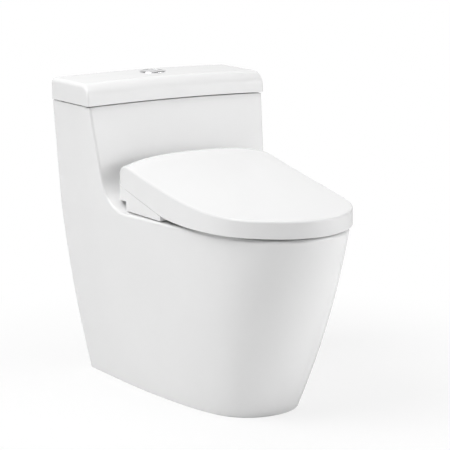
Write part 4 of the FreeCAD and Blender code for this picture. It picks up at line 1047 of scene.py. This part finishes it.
    def _face(self, edge: Sequence[SoftPlace]) -> list[list[Triple]]:
        """The tank's leaning front and the sweep below it.

        Args:
            edge: The soft edge, from which the rows run to the middle.

        Returns:
            The rows from the arched top down to the deck.
        """
        rows = []
        for place in edge[:self.front_rows + self.sweep_rows]:
            x, depth, z = place.arc[-1]
            rows.append([(x * (1 - k / self.face_columns), depth, z) for k in range(self.face_columns + 1)])
        edge_x = rows[0][0][0]
        lifts = [self.arch * (edge_x ** 2 - x ** 2) / self.tank_half ** 2 for x, _, _ in rows[0]]
        rows[0] = [(x, depth - self.lean * lift, z + lift) for (x, depth, z), lift in zip(rows[0], lifts)]
        return rows

    def ease_tank_top(self, obj: bpy.types.Object) -> None:
        """Rounds the outer edge of the tank's top.

        Args:
            obj: The casting.
        """
        ends = []
        for vertex in obj.data.vertices:
            x, depth, z = Bench.measured(vertex)
            outer = (x > self.tank_half - self.top_band[0] or depth < self.top_band[1]
                     or depth > self.tank_depth - self.top_band[1])
            ends.append(outer and abs(z - self.top_at(x)) < self.top_near)
        Bench.round_edges(obj, ends, width=self.top_r, steps=3)

    def bowl_ring(self, angles: Sequence[float], drop: float, grow: float) -> list[Triple]:
        """One level of the bowl.

        Args:
            angles: The columns' angles round the bowl.
            drop: Height below the deck.
            grow: Distance outside the bowl's surface.

        Returns:
            The ring's points.
        """
        t = float(np.interp(drop, self.bowl_table, np.linspace(0, 1, len(self.bowl_table))))
        level = Oval(*self.bowl_line.at(t)[1:], self.mouth.power)
        return level.grown(grow).ring(angles, self.deck_z - drop)

    def _bowl(self, rim: Sequence[Triple]) -> list[bpy.types.Object]:
        """Deck, rolled bowl mouth and bowl, as columns that run from the rim inwards and down.

        Args:
            rim: The deck's outer points.

        Returns:
            The deck with the bowl's inside, and the bowl's outside.
        """
        angles = self.mouth.angles(rim, (self.mouth.rear + self.mouth.front) / 2)
        lip = self.mouth.grown(self.mouth_r).ring(angles, self.deck_z)
        rows = [[toward(outer, inner, share) for outer, inner in zip(rim, lip)] for share in DECK]
        for turn in np.radians([15, 30, 45, 60, 75, 90]):
            out, drop = self.mouth_r * (1 - math.sin(turn)), self.mouth_r * (1 - math.cos(turn))
            rows.append(self.mouth.grown(out).ring(angles, self.deck_z - drop))
        rows += [self.bowl_ring(angles, drop, 0.0) for drop in BOWL_DROPS]
        last = rows[-1]
        middle = (0.0, self.bowl_depth, last[0][2])
        for share, sink in BOWL_END:
            rows.append([(*toward(point, middle, share)[:2], middle[2] - sink) for point in last])
        outside = [self.bowl_ring(angles, drop, self.wall) for drop in OUTSIDE_DROPS]
        low = outside[-1]
        below = (0.0, self.bowl_depth, low[0][2] - self.wall)
        outside.append([(*toward(below, point, 0.5)[:2], below[2]) for point in low])
        outside.append([below for _ in low])
        return [Bench.sheet(rows), Bench.sheet(outside)]

    def _tank_inside(self, wall_top: Sequence[Triple], arc: Sequence[np.ndarray],
                     face_top: Sequence[Triple]) -> bpy.types.Object:
        """The tank's rim and its inside, as columns that run inwards and down.

        Args:
            wall_top: Top points of the rear and side wall.
            arc: The soft edge's arc at the tank's top.
            face_top: Top points of the front.

        Returns:
            The tank's inside.
        """
        outer = [*wall_top, *(tuple(point) for point in arc[1:]), *face_top[1:]]
        half, low_half = self.tank_half - self.wall, self.rim.half - self.wall
        shapes = ((self.tank_z, self.wall, self.front(self.tank_z) - self.wall, half),
                  (self.tank_middle_z, self.wall, self.front(self.tank_middle_z) - self.wall,
                   half - self.tank_taper),
                  (self.tank_floor + self.floor_r, self.wall, self.floor_front[0], low_half),
                  (self.tank_floor, self.wall + self.floor_r, self.floor_front[1], low_half - self.floor_r))
        rows = [outer]
        for z, rear, front, half in shapes:
            oval = Oval(rear, front, half, self.tank_squareness)
            places = [oval.at(oval.angle(point, self.tank_centre)) for point in outer]
            lift = self.arch if z == self.tank_z else 0.0
            ring = [(x, depth, z + lift * (1 - (x / self.tank_half) ** 2)) for x, depth in places]
            ring[0], ring[-1] = (0.0, rear, ring[0][2]), (0.0, front, ring[-1][2])
            rows.append(ring)
        rows.append([(0.0, self.tank_centre, self.tank_floor) for _ in outer])
        return Bench.sheet(rows)

    def _underside(self, stations: Sequence[Station],
                   levels: Sequence[Sequence[Triple]]) -> list[bpy.types.Object]:
        """The hollow below: inner wall, foot ring, service opening and the ceiling round the bowl.

        Args:
            stations: The wall's stations.
            levels: The outer wall's rows.

        Returns:
            The surfaces.
        """
        heights = [z for z in HEIGHTS if z <= self.under_deck - self.under_gap]
        inner = [self.drawn_in(stations, z, self.wall) for z in heights]
        top = [(x, depth, self.under_deck) for x, depth, _ in inner[-1]]
        inner.append(top)
        jamb, opening = len(self.middle) - 1, HEIGHTS.index(self.opening_z)
        angles = self.under_mouth.angles(top, (self.mouth.rear + self.mouth.front) / 2)
        ring = self.bowl_ring(angles, self.deck_z - self.under_deck, self.wall)
        return [Bench.sheet([row[jamb:] for row in inner]),
                Bench.sheet([row[:jamb + 1] for row in inner[opening:]]),
                Bench.sheet([levels[0][jamb:], inner[0][jamb:]]),
                Bench.sheet([levels[opening][:jamb + 1], inner[opening][:jamb + 1]]),
                Bench.sheet([[row[jamb] for row in wall[:opening + 1]] for wall in (levels, inner)]),
                Bench.sheet([top, ring])]


@dataclass
class TankLid:
    """Loose lid of the tank: an arched block with a big round nose in front."""

    half: float = 214.2
    rear: float = -2.0
    front: float = 170.0
    base_z: float = 602.4
    top_z: float = 647.5
    arch: float = 3.8
    nose_r: float = 31.0
    nose_lean: float = 0.10
    rear_r: float = 10.0
    side_r: float = 9.0
    front_side_r: float = 5.0
    side_from: float = 30.0         # the side's rows gather between these depths of its foot
    side_to: float = 118.0
    columns: int = 16
    rows: tuple[int, ...] = (6, 7, 11, 15, 5)   # steps up the rear, over its edge, on, round the nose, down
    side_points: int = 8
    wall: float = 6.0

    def profile(self) -> list[tuple[float, float, float, float]]:
        """Side profile from the rear foot over the top to the front foot.

        Returns:
            Depth and height of its points, each with the two parts of the outward normal.
        """
        rear_rows, rear_turns, top_rows, nose_turns, front_rows = self.rows
        heights = np.linspace(self.base_z, self.top_z - self.rear_r, rear_rows + 1)
        line = [(self.rear, z, -1.0, 0.0) for z in heights[:-1]]
        for turn in np.radians(np.linspace(180, 90, rear_turns + 1)):
            line.append((self.rear + self.rear_r * (1 + math.cos(turn)),
                         self.top_z - self.rear_r * (1 - math.sin(turn)), math.cos(turn), math.sin(turn)))
        slant = math.hypot(1.0, self.nose_lean)
        centre_z = self.top_z - self.nose_r
        centre = self.front - self.nose_lean * (centre_z - self.base_z) - self.nose_r * slant
        for depth in np.linspace(self.rear + self.rear_r, centre, top_rows + 1)[1:-1]:
            line.append((depth, self.top_z, 0.0, 1.0))
        foot = math.degrees(math.atan(self.nose_lean))
        for turn in np.radians(np.linspace(90, foot, nose_turns + 1)):
            line.append((centre + self.nose_r * math.cos(turn), centre_z + self.nose_r * math.sin(turn),
                         math.cos(turn), math.sin(turn)))
        last = line[-1][:2]
        for share in np.linspace(0, 1, front_rows + 1)[1:]:
            line.append((*toward(last, (self.front, self.base_z), share), 1 / slant, self.nose_lean / slant))
        return line

    def arched(self, x: float, depth: float, z: float) -> Triple:
        """A point of the lid raised by the arch."""
        return x, depth, max(z, self.base_z) + self.arch * (1 - (x / self.half) ** 2)

    def build(self, palette: Palette) -> None:
        """Models the lid.

        Args:
            palette: The materials.
        """
        shares = [1 - k / self.columns for k in range(self.columns + 1)]
        across, arc, side = [], [], []
        for depth, z, n_depth, n_z in self.profile():
            radius = self.side_r + (self.front_side_r - self.side_r) * max(0.0, n_depth)
            x = self.half - radius
            across.append([self.arched(x * share, depth, z) for share in shares])
            points = []
            for turn in np.radians(np.linspace(0, 90, self.side_points)):
                out, drop = radius * math.cos(turn), radius * (1 - math.sin(turn))
                points.append(self.arched(x + out, depth - n_depth * drop, z - n_z * drop))
            arc.append(points)
            foot = points[0]
            middle = (self.half, min(max(foot[1], self.side_from), self.side_to), self.base_z)
            side.append([toward(foot, middle, share) for share in (0.0, 0.15, 0.5, 1.0)])
        sheets = [Bench.sheet(rows) for rows in (across, arc, side)]
        obj = Bench.weld("tank_lid_shell", sheets, mirror=True)
        Bench.apply(obj, "SOLIDIFY", thickness=self.wall * MM, offset=-1.0, use_even_offset=False)
        Bench.smooth(obj, degrees=38.0)
        Bench.hand_over(obj, "tank_cover", "china", palette, "tank_lid")


@dataclass
class FlushButtons:
    """Round chromed dual flush button: a rolled bezel and two parted caps."""

    depth: float = 60.0
    seat_z: float = 651.3
    bezel_r: float = 28.5
    bezel_height: float = 2.6
    button_r: float = 22.2
    gap: float = 0.4
    split: float = 5.0              # how far the split line is off the middle
    cap_height: float = 7.0
    cap_drop: float = 0.4           # how far the caps' tops lie below the bezel's
    round_steps: int = 96
    arc_points: int = 81
    chord_steps: int = 24

    def bezel(self) -> bpy.types.Object:
        """The rolled ring round the caps, spun from its section.

        Returns:
            The ring.
        """
        inner, outer, z = self.button_r + self.gap, self.bezel_r, self.seat_z
        top = z + self.bezel_height
        section = [(inner, z), (inner, top - 0.9), (inner + 0.35, top - 0.3), (inner + 1.1, top),
                   (outer - 3.0, top - 0.1), (outer - 1.4, top - 0.5), (outer - 0.45, top - 1.2),
                   (outer, top - 2.0), (outer, z), (inner, z)]
        turns = np.linspace(0, 2 * math.pi, self.round_steps + 1)
        rows = [[(r * math.cos(a), self.depth + r * math.sin(a), height) for a in turns]
                for r, height in section]
        obj = Bench.weld("flush_bezel", [Bench.sheet(rows)])
        Bench.smooth(obj, degrees=50.0)
        return obj

    def outline(self, inset: float, larger: bool) -> list[Pair]:
        """Plan of one cap: part of a circle closed by the split line, drawn in by an inset.

        Args:
            inset: How far inside the cap's edge the outline lies.
            larger: Whether it is the full flush cap.

        Returns:
            The closed outline's points.
        """
        radius = self.button_r - inset
        straight = self.split - self.gap - inset if larger else self.split + self.gap + inset
        half = math.acos(straight / radius)
        first, last = (half, 2 * math.pi - half) if larger else (-half, half)
        turns = np.linspace(first, last, self.arc_points)
        arc = [(radius * math.cos(a), radius * math.sin(a)) for a in turns]
        chord = [(straight, arc[-1][1] + (arc[0][1] - arc[-1][1]) * k / self.chord_steps)
                 for k in range(1, self.chord_steps + 1)]
        return arc + chord

    def cap(self, name: str, larger: bool) -> bpy.types.Object:
        """One cap: a dished disc cut along the split line, with soft edges.

        Args:
            name: The piece's name.
            larger: Whether it is the full flush cap.

        Returns:
            The cap.
        """
        top = self.seat_z + self.bezel_height - self.cap_drop
        section = [(5.5, -self.cap_height), (0.0, -self.cap_height), (0.0, -0.9), (0.12, -0.5), (0.4, -0.2),
                   (0.9, 0.0), (1.8, 0.0), (3.0, -0.15), (5.5, -0.3)]
        rows = [[(x, self.depth + y, top + z) for x, y in self.outline(inset, larger)]
                for inset, z in section]
        middle = (np.mean([point[0] for point in rows[0]]), self.depth)
        poles = [[(*middle, row[0][2])] * len(row) for row in (rows[0], rows[-1])]
        obj = Bench.weld(name, [Bench.sheet([poles[0], *rows, poles[1]])])
        Bench.smooth(obj, degrees=50.0)
        return obj

    def build(self, palette: Palette) -> None:
        """Models bezel and caps.

        Args:
            palette: The materials.
        """
        for piece, body, node in ((self.bezel(), "tank_cover", "button_bezel"),
                                  (self.cap("full_flush_cap", True), "full_flush", "full_flush_button"),
                                  (self.cap("half_flush_cap", False), "half_flush", "half_flush_button")):
            Bench.hand_over(piece, body, "chromed_plastic", palette, node)


# ---- seat and unit ------------------------------------------------------------------------------
LID_SHAPE = ((0.10, 1.0), (0.27, 0.999), (0.40, 0.995), (0.53, 0.982), (0.64, 0.953), (0.727, 0.905),
             (0.79, 0.845), (0.85, 0.745), (0.902, 0.615), (0.952, 0.435), (0.988, 0.219))


@dataclass
class SeatLid:
    """The crowned lid over seat and unit: a thin shell, open below and behind."""

    outline: Outline = Outline(172.0, 705.0, LID_SHAPE, 211.5, 45.5)
    corner_across: float = 6.0      # the rear corner's reach across; the outline has its reach in depth
    rear_cut: float = 217.5         # where the top ends on the middle line, between the flanks
    rear_bow: float = 5.5           # how much further forward it ends at the flanks
    rear_lip: float = 1.0           # height of its end
    top: tuple[Triple, ...] = (     # depth, height at the sides, crown
        (216.5, 488.4, 23.0), (260.0, 479.5, 21.0), (340.0, 464.5, 15.0), (430.0, 448.4, 11.0),
        (520.0, 435.0, 8.5), (610.0, 426.0, 7.0), (730.0, 421.5, 5.0))
    lower: tuple[Pair, ...] = ((372.0, 407.0), (400.0, 401.6), (440.0, 397.6), (520.0, 394.8), (620.0, 393.9),
                               (740.0, 393.4))
    seam: tuple[Pair, Pair] = ((216.5, 444.0), (372.0, 407.0))      # straight lower edge over the unit
    edge_r: float = 5.0
    edge_steps: int = 9
    least_r: float = 0.4
    rear_r: float = 50.0
    rear_reach: float = 45.5
    most_over: float = 0.97         # share of the rear's rounding after which it falls straight
    same_way: float = 0.995         # cosine above which side and top need no rounding between them
    straight_back: float = 0.99     # cosine to straight back above which a column is cut off at the top
    wall: float = 3.0
    lip_drop: float = 0.5           # how far the wall's lower edge is rounded down
    wide: float = 180.0             # where the crown has come down to nothing
    back_steps: int = 12            # stations across the back, round the corner, along the side
    corner_steps: int = 12
    side_steps: int = 96
    side_shares: tuple[float, ...] = (0.0, 0.03, 0.3, 0.6, 0.9)
    top_shares: tuple[float, ...] = (0.08, 0.2, 0.35, 0.5, 0.65, 0.8, 0.9, 1.0)
    run: float = 10.0               # how far a column runs square to the edge
    run_steps: int = 8
    gather: Pair = (30.0, 90.0)     # nearest that columns end to the rounded rear and to the tip

    def __post_init__(self) -> None:
        """Works out the curves."""
        self.rear_centre = self.outline.rear + self.rear_reach
        self.top_table = SmoothLine(self.top).table(601)
        self.fall = (self.seam[1][1] - self.seam[0][1]) / (self.seam[1][0] - self.seam[0][0])
        slope = math.hypot(1, self.fall)
        self.low_table = SmoothLine(self.lower, (1 / slope, self.fall / slope), (1.0, 0.0)).table(401)

    def crowned(self, x: float, depth: float) -> float:
        """Height of the crowned top surface, before its rear is rounded.

        Args:
            x: Distance from the middle.
            depth: Depth.

        Returns:
            The height.
        """
        edge, crown = (np.interp(depth, self.top_table[:, 0], self.top_table[:, k]) for k in (1, 2))
        return float(edge + crown * (1 - abs(x / self.wide) ** 3))

    def over(self, depth: float, offset: float) -> float:
        """How far a place lies into the rounded rear, as a share of its radius."""
        return min(max((self.rear_centre - depth) / (self.rear_r - offset), 0.0), self.most_over)

    def height(self, x: float, depth: float, offset: float) -> float:
        """Height of the surface that lies an offset below the top surface."""
        drop = 1 - math.sqrt(1 - self.over(depth, offset) ** 2)
        return self.crowned(x, depth) - offset - (self.rear_r - offset) * drop

    def upward(self, x: float, depth: float, offset: float) -> np.ndarray:
        """Outward normal of that surface.

        Args:
            x: Distance from the middle.
            depth: Depth.
            offset: How far below the top surface it lies.

        Returns:
            The unit normal.
        """
        slope_x = (self.crowned(x + 1, depth) - self.crowned(x - 1, depth)) / 2
        slope_d = (self.crowned(x, depth + 1) - self.crowned(x, depth - 1)) / 2
        over = self.over(depth, offset)
        level = math.sqrt(1 - over ** 2)
        up = np.array([-slope_x * level, -slope_d * level - over, level])
        return up / np.linalg.norm(up)

    def low(self, depth: float) -> float:
        """Height of the lid's lower edge.

        Args:
            depth: Depth.

        Returns:
            The height.
        """
        if depth <= self.seam[1][0]:
            return self.seam[0][1] + self.fall * (depth - self.seam[0][0])
        return float(np.interp(depth, self.low_table[:, 0], self.low_table[:, 1]))

    def rear_end(self, x: float) -> float:
        """Depth at which the top ends between its flanks, so that the lid turns clear of the hood."""
        return self.rear_cut + self.rear_bow * (x / self.outline.half) ** 2

    def stations(self) -> list[tuple[np.ndarray, np.ndarray]]:
        """The columns' places, from the middle of the back round to the tip.

        Returns:
            Plan points with their outward normals.
        """
        out, side = self.outline, self.outline.side()
        wide, deep = self.corner_across, out.corner
        back, front = np.array([0.0, -1.0]), np.array([0.0, 1.0])
        found = [(np.array([x, self.rear_end(x)]), back)
                 for x in np.linspace(0, out.half - wide, self.back_steps + 1)]
        for turn in np.radians(np.linspace(0, 90, self.corner_steps + 1))[1:]:
            place = np.array([out.half - wide * (1 - math.sin(turn)), out.rear + deep * (1 - math.cos(turn))])
            normal = np.array([math.sin(turn) / wide, -math.cos(turn) / deep])
            found.append((place, normal / np.linalg.norm(normal)))
        found += [(side.at(share / 2), side.outward(share / 2))
                  for share in np.linspace(0, 1, self.side_steps + 1)[1:-1]]
        return found + [(np.array([0.0, out.length]), front)]

    def column(self, place: np.ndarray, normal: np.ndarray, offset: float) -> list[Triple]:
        """One line of the shell from its lower edge up the side and in over the top.

        Args:
            place: Plan point on the outline.
            normal: Outward normal there.
            offset: How far inside the outer surface the line lies.

        Returns:
            The line's points.
        """
        x, depth = place - normal * offset
        backward = max(0.0, -float(normal[1]))
        radius = max((self.edge_r - offset) * (1 - backward), self.least_r)
        side = np.array([normal[0], normal[1], 0.0])
        corner = np.array([x, depth, self.height(x, depth, offset)])
        up = self.upward(x, depth, offset)
        for _ in range(5):      # the corner moves until the rounding's end lies on the top surface
            share = float(side @ up)
            if share > self.same_way:
                break
            contact = corner - radius * (side + up) / (1 + share) + radius * up
            corner[2] += self.height(contact[0], contact[1], offset) - contact[2]
            up = self.upward(contact[0], contact[1], offset)
        share = float(side @ up)
        arc = [corner] * self.edge_steps
        if share <= self.same_way:
            centre = corner - radius * (side + up) / (1 + share)
            arc = [centre + radius * way for way in swung(side, up, self.edge_steps)]
        behind = backward >= self.straight_back
        low = arc[0][2] - self.rear_lip if behind else self.low(float(place[1]))
        line = [(x, depth, low + (arc[0][2] - low) * k) for k in self.side_shares]
        line += [tuple(point) for point in arc]
        return line + self.run_in(arc[-1], normal, offset)

    def run_in(self, first: np.ndarray, normal: np.ndarray, offset: float) -> list[Triple]:
        """The rest of a column, over the rounded rear and on to the middle line.

        Args:
            first: Where the edge's rounding ends.
            normal: Outward plan normal at the edge.
            offset: How far below the outer surface the line lies.

        Returns:
            The points on the top surface.
        """
        radius, centre = self.rear_r - offset, self.rear_centre
        aim = first[:2] - self.run * normal
        aim[1] = max(aim[1], centre + 1)
        start = math.acos(min(max((centre - first[1]) / radius, 0.0), 1.0))
        plan = []
        for part in np.linspace(0, 1, self.run_steps + 1)[1:]:
            x, depth = first[:2] + (aim - first[:2]) * part
            if first[1] < centre:
                turn = start + (math.pi / 2 - start) * part
                depth = centre - radius * math.cos(turn) + (aim[1] - centre) * part
            plan.append((x, depth))
        end = min(max(aim[1], centre + self.gather[0]), self.outline.length - self.gather[1])
        plan += [(aim[0] * (1 - part), aim[1] + (end - aim[1]) * part) for part in self.top_shares]
        return [(x, depth, self.height(x, depth, offset)) for x, depth in plan]

    def build(self, palette: Palette) -> None:
        """Models the shell and its lining.

        Args:
            palette: The materials.
        """
        outside, inside = ([self.column(*station, offset) for station in self.stations()]
                           for offset in (0.0, self.wall))
        lip = []
        for outer, inner in zip((line[0] for line in outside), (line[0] for line in inside)):
            lowest = ((outer[0] + inner[0]) / 2, (outer[1] + inner[1]) / 2, outer[2] - self.lip_drop)
            lip.append([outer, lowest, inner])
        obj = Bench.weld("lid_shell", [Bench.sheet(rows) for rows in (outside, inside, lip)], mirror=True)
        Bench.smooth(obj, degrees=40.0)
        Bench.hand_over(obj, "lid", "seat_plastic", palette, "seat_lid")


class UnitCase:
    """Lower case, cover and small fittings of the bidet unit, with their moulded edges rounded."""

    # CAD node, piece, body, slot and width of the rounding
    PIECES: tuple[tuple[str, str, str, str, float], ...] = (
        ("unit_base", "unit_case", "seat_unit", "seat_plastic", 1.2),
        ("unit_cover", "unit_hood", "seat_unit", "seat_plastic", 1.0),
        ("water_inlet_elbow", "inlet_elbow", "seat_unit", "grey_plastic", 0.4),
        ("inlet_swivel_nut", "inlet_nut", "inlet_nut", "grey_plastic", 0.3),
        ("release_button", "release_knob", "release", "seat_plastic", 0.7),
        ("filter_drawer", "filter_tray", "drawer", "seat_plastic", 0.5),
        ("cord_gland", "cord_bush", "seat_unit", "grey_plastic", 0.5),
    )
    CASE_CORNER: Triple = (172.0, 217.5, 5.0)   # its distance from the middle, depth and radius

    def build(self, palette: Palette) -> None:
        """Makes the rounded copies.

        Args:
            palette: The materials.
        """
        for node, name, body, slot, width in self.PIECES:
            corner = self.CASE_CORNER if name == "unit_case" else None
            Bench.hand_over(Bench.softened(node, name, width, corner), body, slot, palette, node)


class HiddenParts:
    """CAD nodes that keep their own mesh and get the record's finish."""

    def build(self, palette: Palette) -> None:
        """Dresses every CAD node; the pieces that are built later stand for some of them.

        Args:
            palette: The materials.
        """
        for part in frame["record"]["subparts"]:
            palette.dress(frame["nodes"][part["node"]], part["material_slot"])
        LOG.info("dressed %d nodes", len(frame["nodes"]))


# ---- studio -------------------------------------------------------------------------------------
@dataclass(frozen=True)
class Softbox:
    """One soft lamp."""

    name: str
    place: Triple
    power: float
    aim: Triple = (0.0, -0.1, 0.35)
    width: float = 2.2
    height: float = 2.0

    def build(self) -> None:
        """Adds the lamp."""
        data = bpy.data.lights.new(self.name, "AREA")
        data.shape = "RECTANGLE"
        data.size, data.size_y, data.energy = self.width, self.height, self.power
        lamp = bpy.data.objects.new(self.name, data)
        bpy.context.scene.collection.objects.link(lamp)
        lamp.location = self.place
        way = Vector(self.aim) - Vector(self.place)
        lamp.rotation_euler = way.to_track_quat("-Z", "Y").to_euler()


@dataclass(frozen=True)
class Glow:
    """A soft brightening of the surroundings round one direction."""

    way: Triple
    low: float              # cosine to the direction at which it begins
    high: float             # and at which it is full
    strength: float


@dataclass
class Studio:
    """White floor, softly graded surroundings and soft lamps."""

    WHITE = (1.0, 1.0, 1.0, 1.0)
    ambient: float = 0.04
    glow: Glow = Glow((0.45, 0.89, 0.08), 0.3, 0.9, 0.78)
    lamps: tuple[Softbox, ...] = (
        Softbox("high_left", (-1.835, -0.1, 2.971), 77.0),
        Softbox("right_front", (2.012, -2.498, 1.015), 37.0),
        Softbox("right", (2.837, -1.423, 1.015), 12.0),
        Softbox("overhead", (0.0, -0.212, 3.548), 22.0),
        Softbox("back_left", (-2.368, 1.887, 1.178), 6.0),
    )
    floor_size: float = 30.0
    floor_white: float = 0.95
    shadow_share: float = 0.22
    shadow_near: float = 0.45
    shadow_far: float = 1.0

    def floor(self) -> None:
        """A white floor that keeps the object's shadow close to it and shows plain white further off."""
        bpy.ops.object.select_all(action="DESELECT")
        bpy.ops.mesh.primitive_plane_add(size=self.floor_size)
        plane = bpy.context.active_object
        plane.name = "studio_floor"
        material = bpy.data.materials.new("studio_floor")
        tree = Tree(material)
        seen = tree.add("ShaderNodeLightPath", None, None, "Is Camera Ray")
        reach = tree.add("ShaderNodeVectorMath", {"operation": "LENGTH"}, {0: tree.here()}, 1)
        plain = 1.0 - (1.0 - reach.between(self.shadow_near, self.shadow_far)) * self.shadow_share
        white = tree.add("ShaderNodeEmission", None, {"Color": self.WHITE, "Strength": 1.0})
        paint = tree.add("ShaderNodeBsdfDiffuse", None, {"Color": (self.floor_white,) * 3 + (1.0,)})
        mixed = tree.add("ShaderNodeMixShader", None, {0: seen * plain, 1: paint, 2: white})
        tree.add("ShaderNodeOutputMaterial", None, {"Surface": mixed})
        plane.data.materials.append(material)

    def surroundings(self) -> None:
        """A world that looks white and lights softly."""
        world = bpy.data.worlds.new("studio")
        bpy.context.scene.world = world
        tree = Tree(world)
        seen = tree.add("ShaderNodeLightPath", None, None, "Is Camera Ray")
        way = tree.add("ShaderNodeTexCoord", None, None, "Generated")
        facing = tree.add("ShaderNodeVectorMath", {"operation": "DOT_PRODUCT"}, {0: way, 1: self.glow.way}, 1)
        light = facing.between(self.glow.low, self.glow.high) * self.glow.strength + self.ambient
        strength = seen + (1.0 - seen) * light
        shader = tree.add("ShaderNodeBackground", None, {"Color": self.WHITE, "Strength": strength})
        tree.add("ShaderNodeOutputWorld", None, {"Surface": shader})

    def build(self) -> None:
        """Sets the studio up."""
        self.floor()
        self.surroundings()
        for lamp in self.lamps:
            lamp.build()
        bpy.context.scene.view_settings.view_transform = "Standard"


@dataclass
class ProductCamera:
    """The photograph's view: angles in degrees, distances in millimetres."""

    azimuth: float = -31.18023
    elevation: float = 10.96184
    roll: float = -0.57426
    lens_px: float = 2022.0646
    distance: float = 4198.372
    aim: Triple = (0.0, 330.0, 300.0)
    shift_right: float = -12.5659
    shift_up: float = -56.1981
    frame_px: float = 450.0
    sensor: float = 36.0

    def build(self) -> None:
        """Adds the camera and makes it the scene's."""
        az, el, roll = (math.radians(a) for a in (self.azimuth, self.elevation, self.roll))
        back = Vector((math.sin(az) * math.cos(el), -math.cos(az) * math.cos(el), math.sin(el)))
        level = (-back).cross(Vector((0, 0, 1))).normalized()
        upright = level.cross(-back)
        right = level * math.cos(roll) + upright * math.sin(roll)
        up = upright * math.cos(roll) - level * math.sin(roll)
        aim = Vector(Bench.metres(np.array(self.aim)))
        place = aim + (back * self.distance - right * self.shift_right - up * self.shift_up) * MM
        data = bpy.data.cameras.new("product_camera")
        data.sensor_width = self.sensor
        data.lens = self.lens_px / self.frame_px * self.sensor
        camera = bpy.data.objects.new("product_camera", data)
        bpy.context.scene.collection.objects.link(camera)
        turn = Matrix((right, up, back)).transposed().to_4x4()
        camera.matrix_world = Matrix.Translation(place) @ turn
        bpy.context.scene.camera = camera


def main() -> None:
    """Builds the studio and the object, piece by piece."""
    logging.basicConfig(level=logging.INFO)
    ProductCamera().build()
    Studio().build()
    palette = Palette()
    for assembly in (HiddenParts(), ChinaCasting(), TankLid(), FlushButtons(), SeatLid(), UnitCase()):
        assembly.build(palette)


if __name__ == "__main__":
    main()
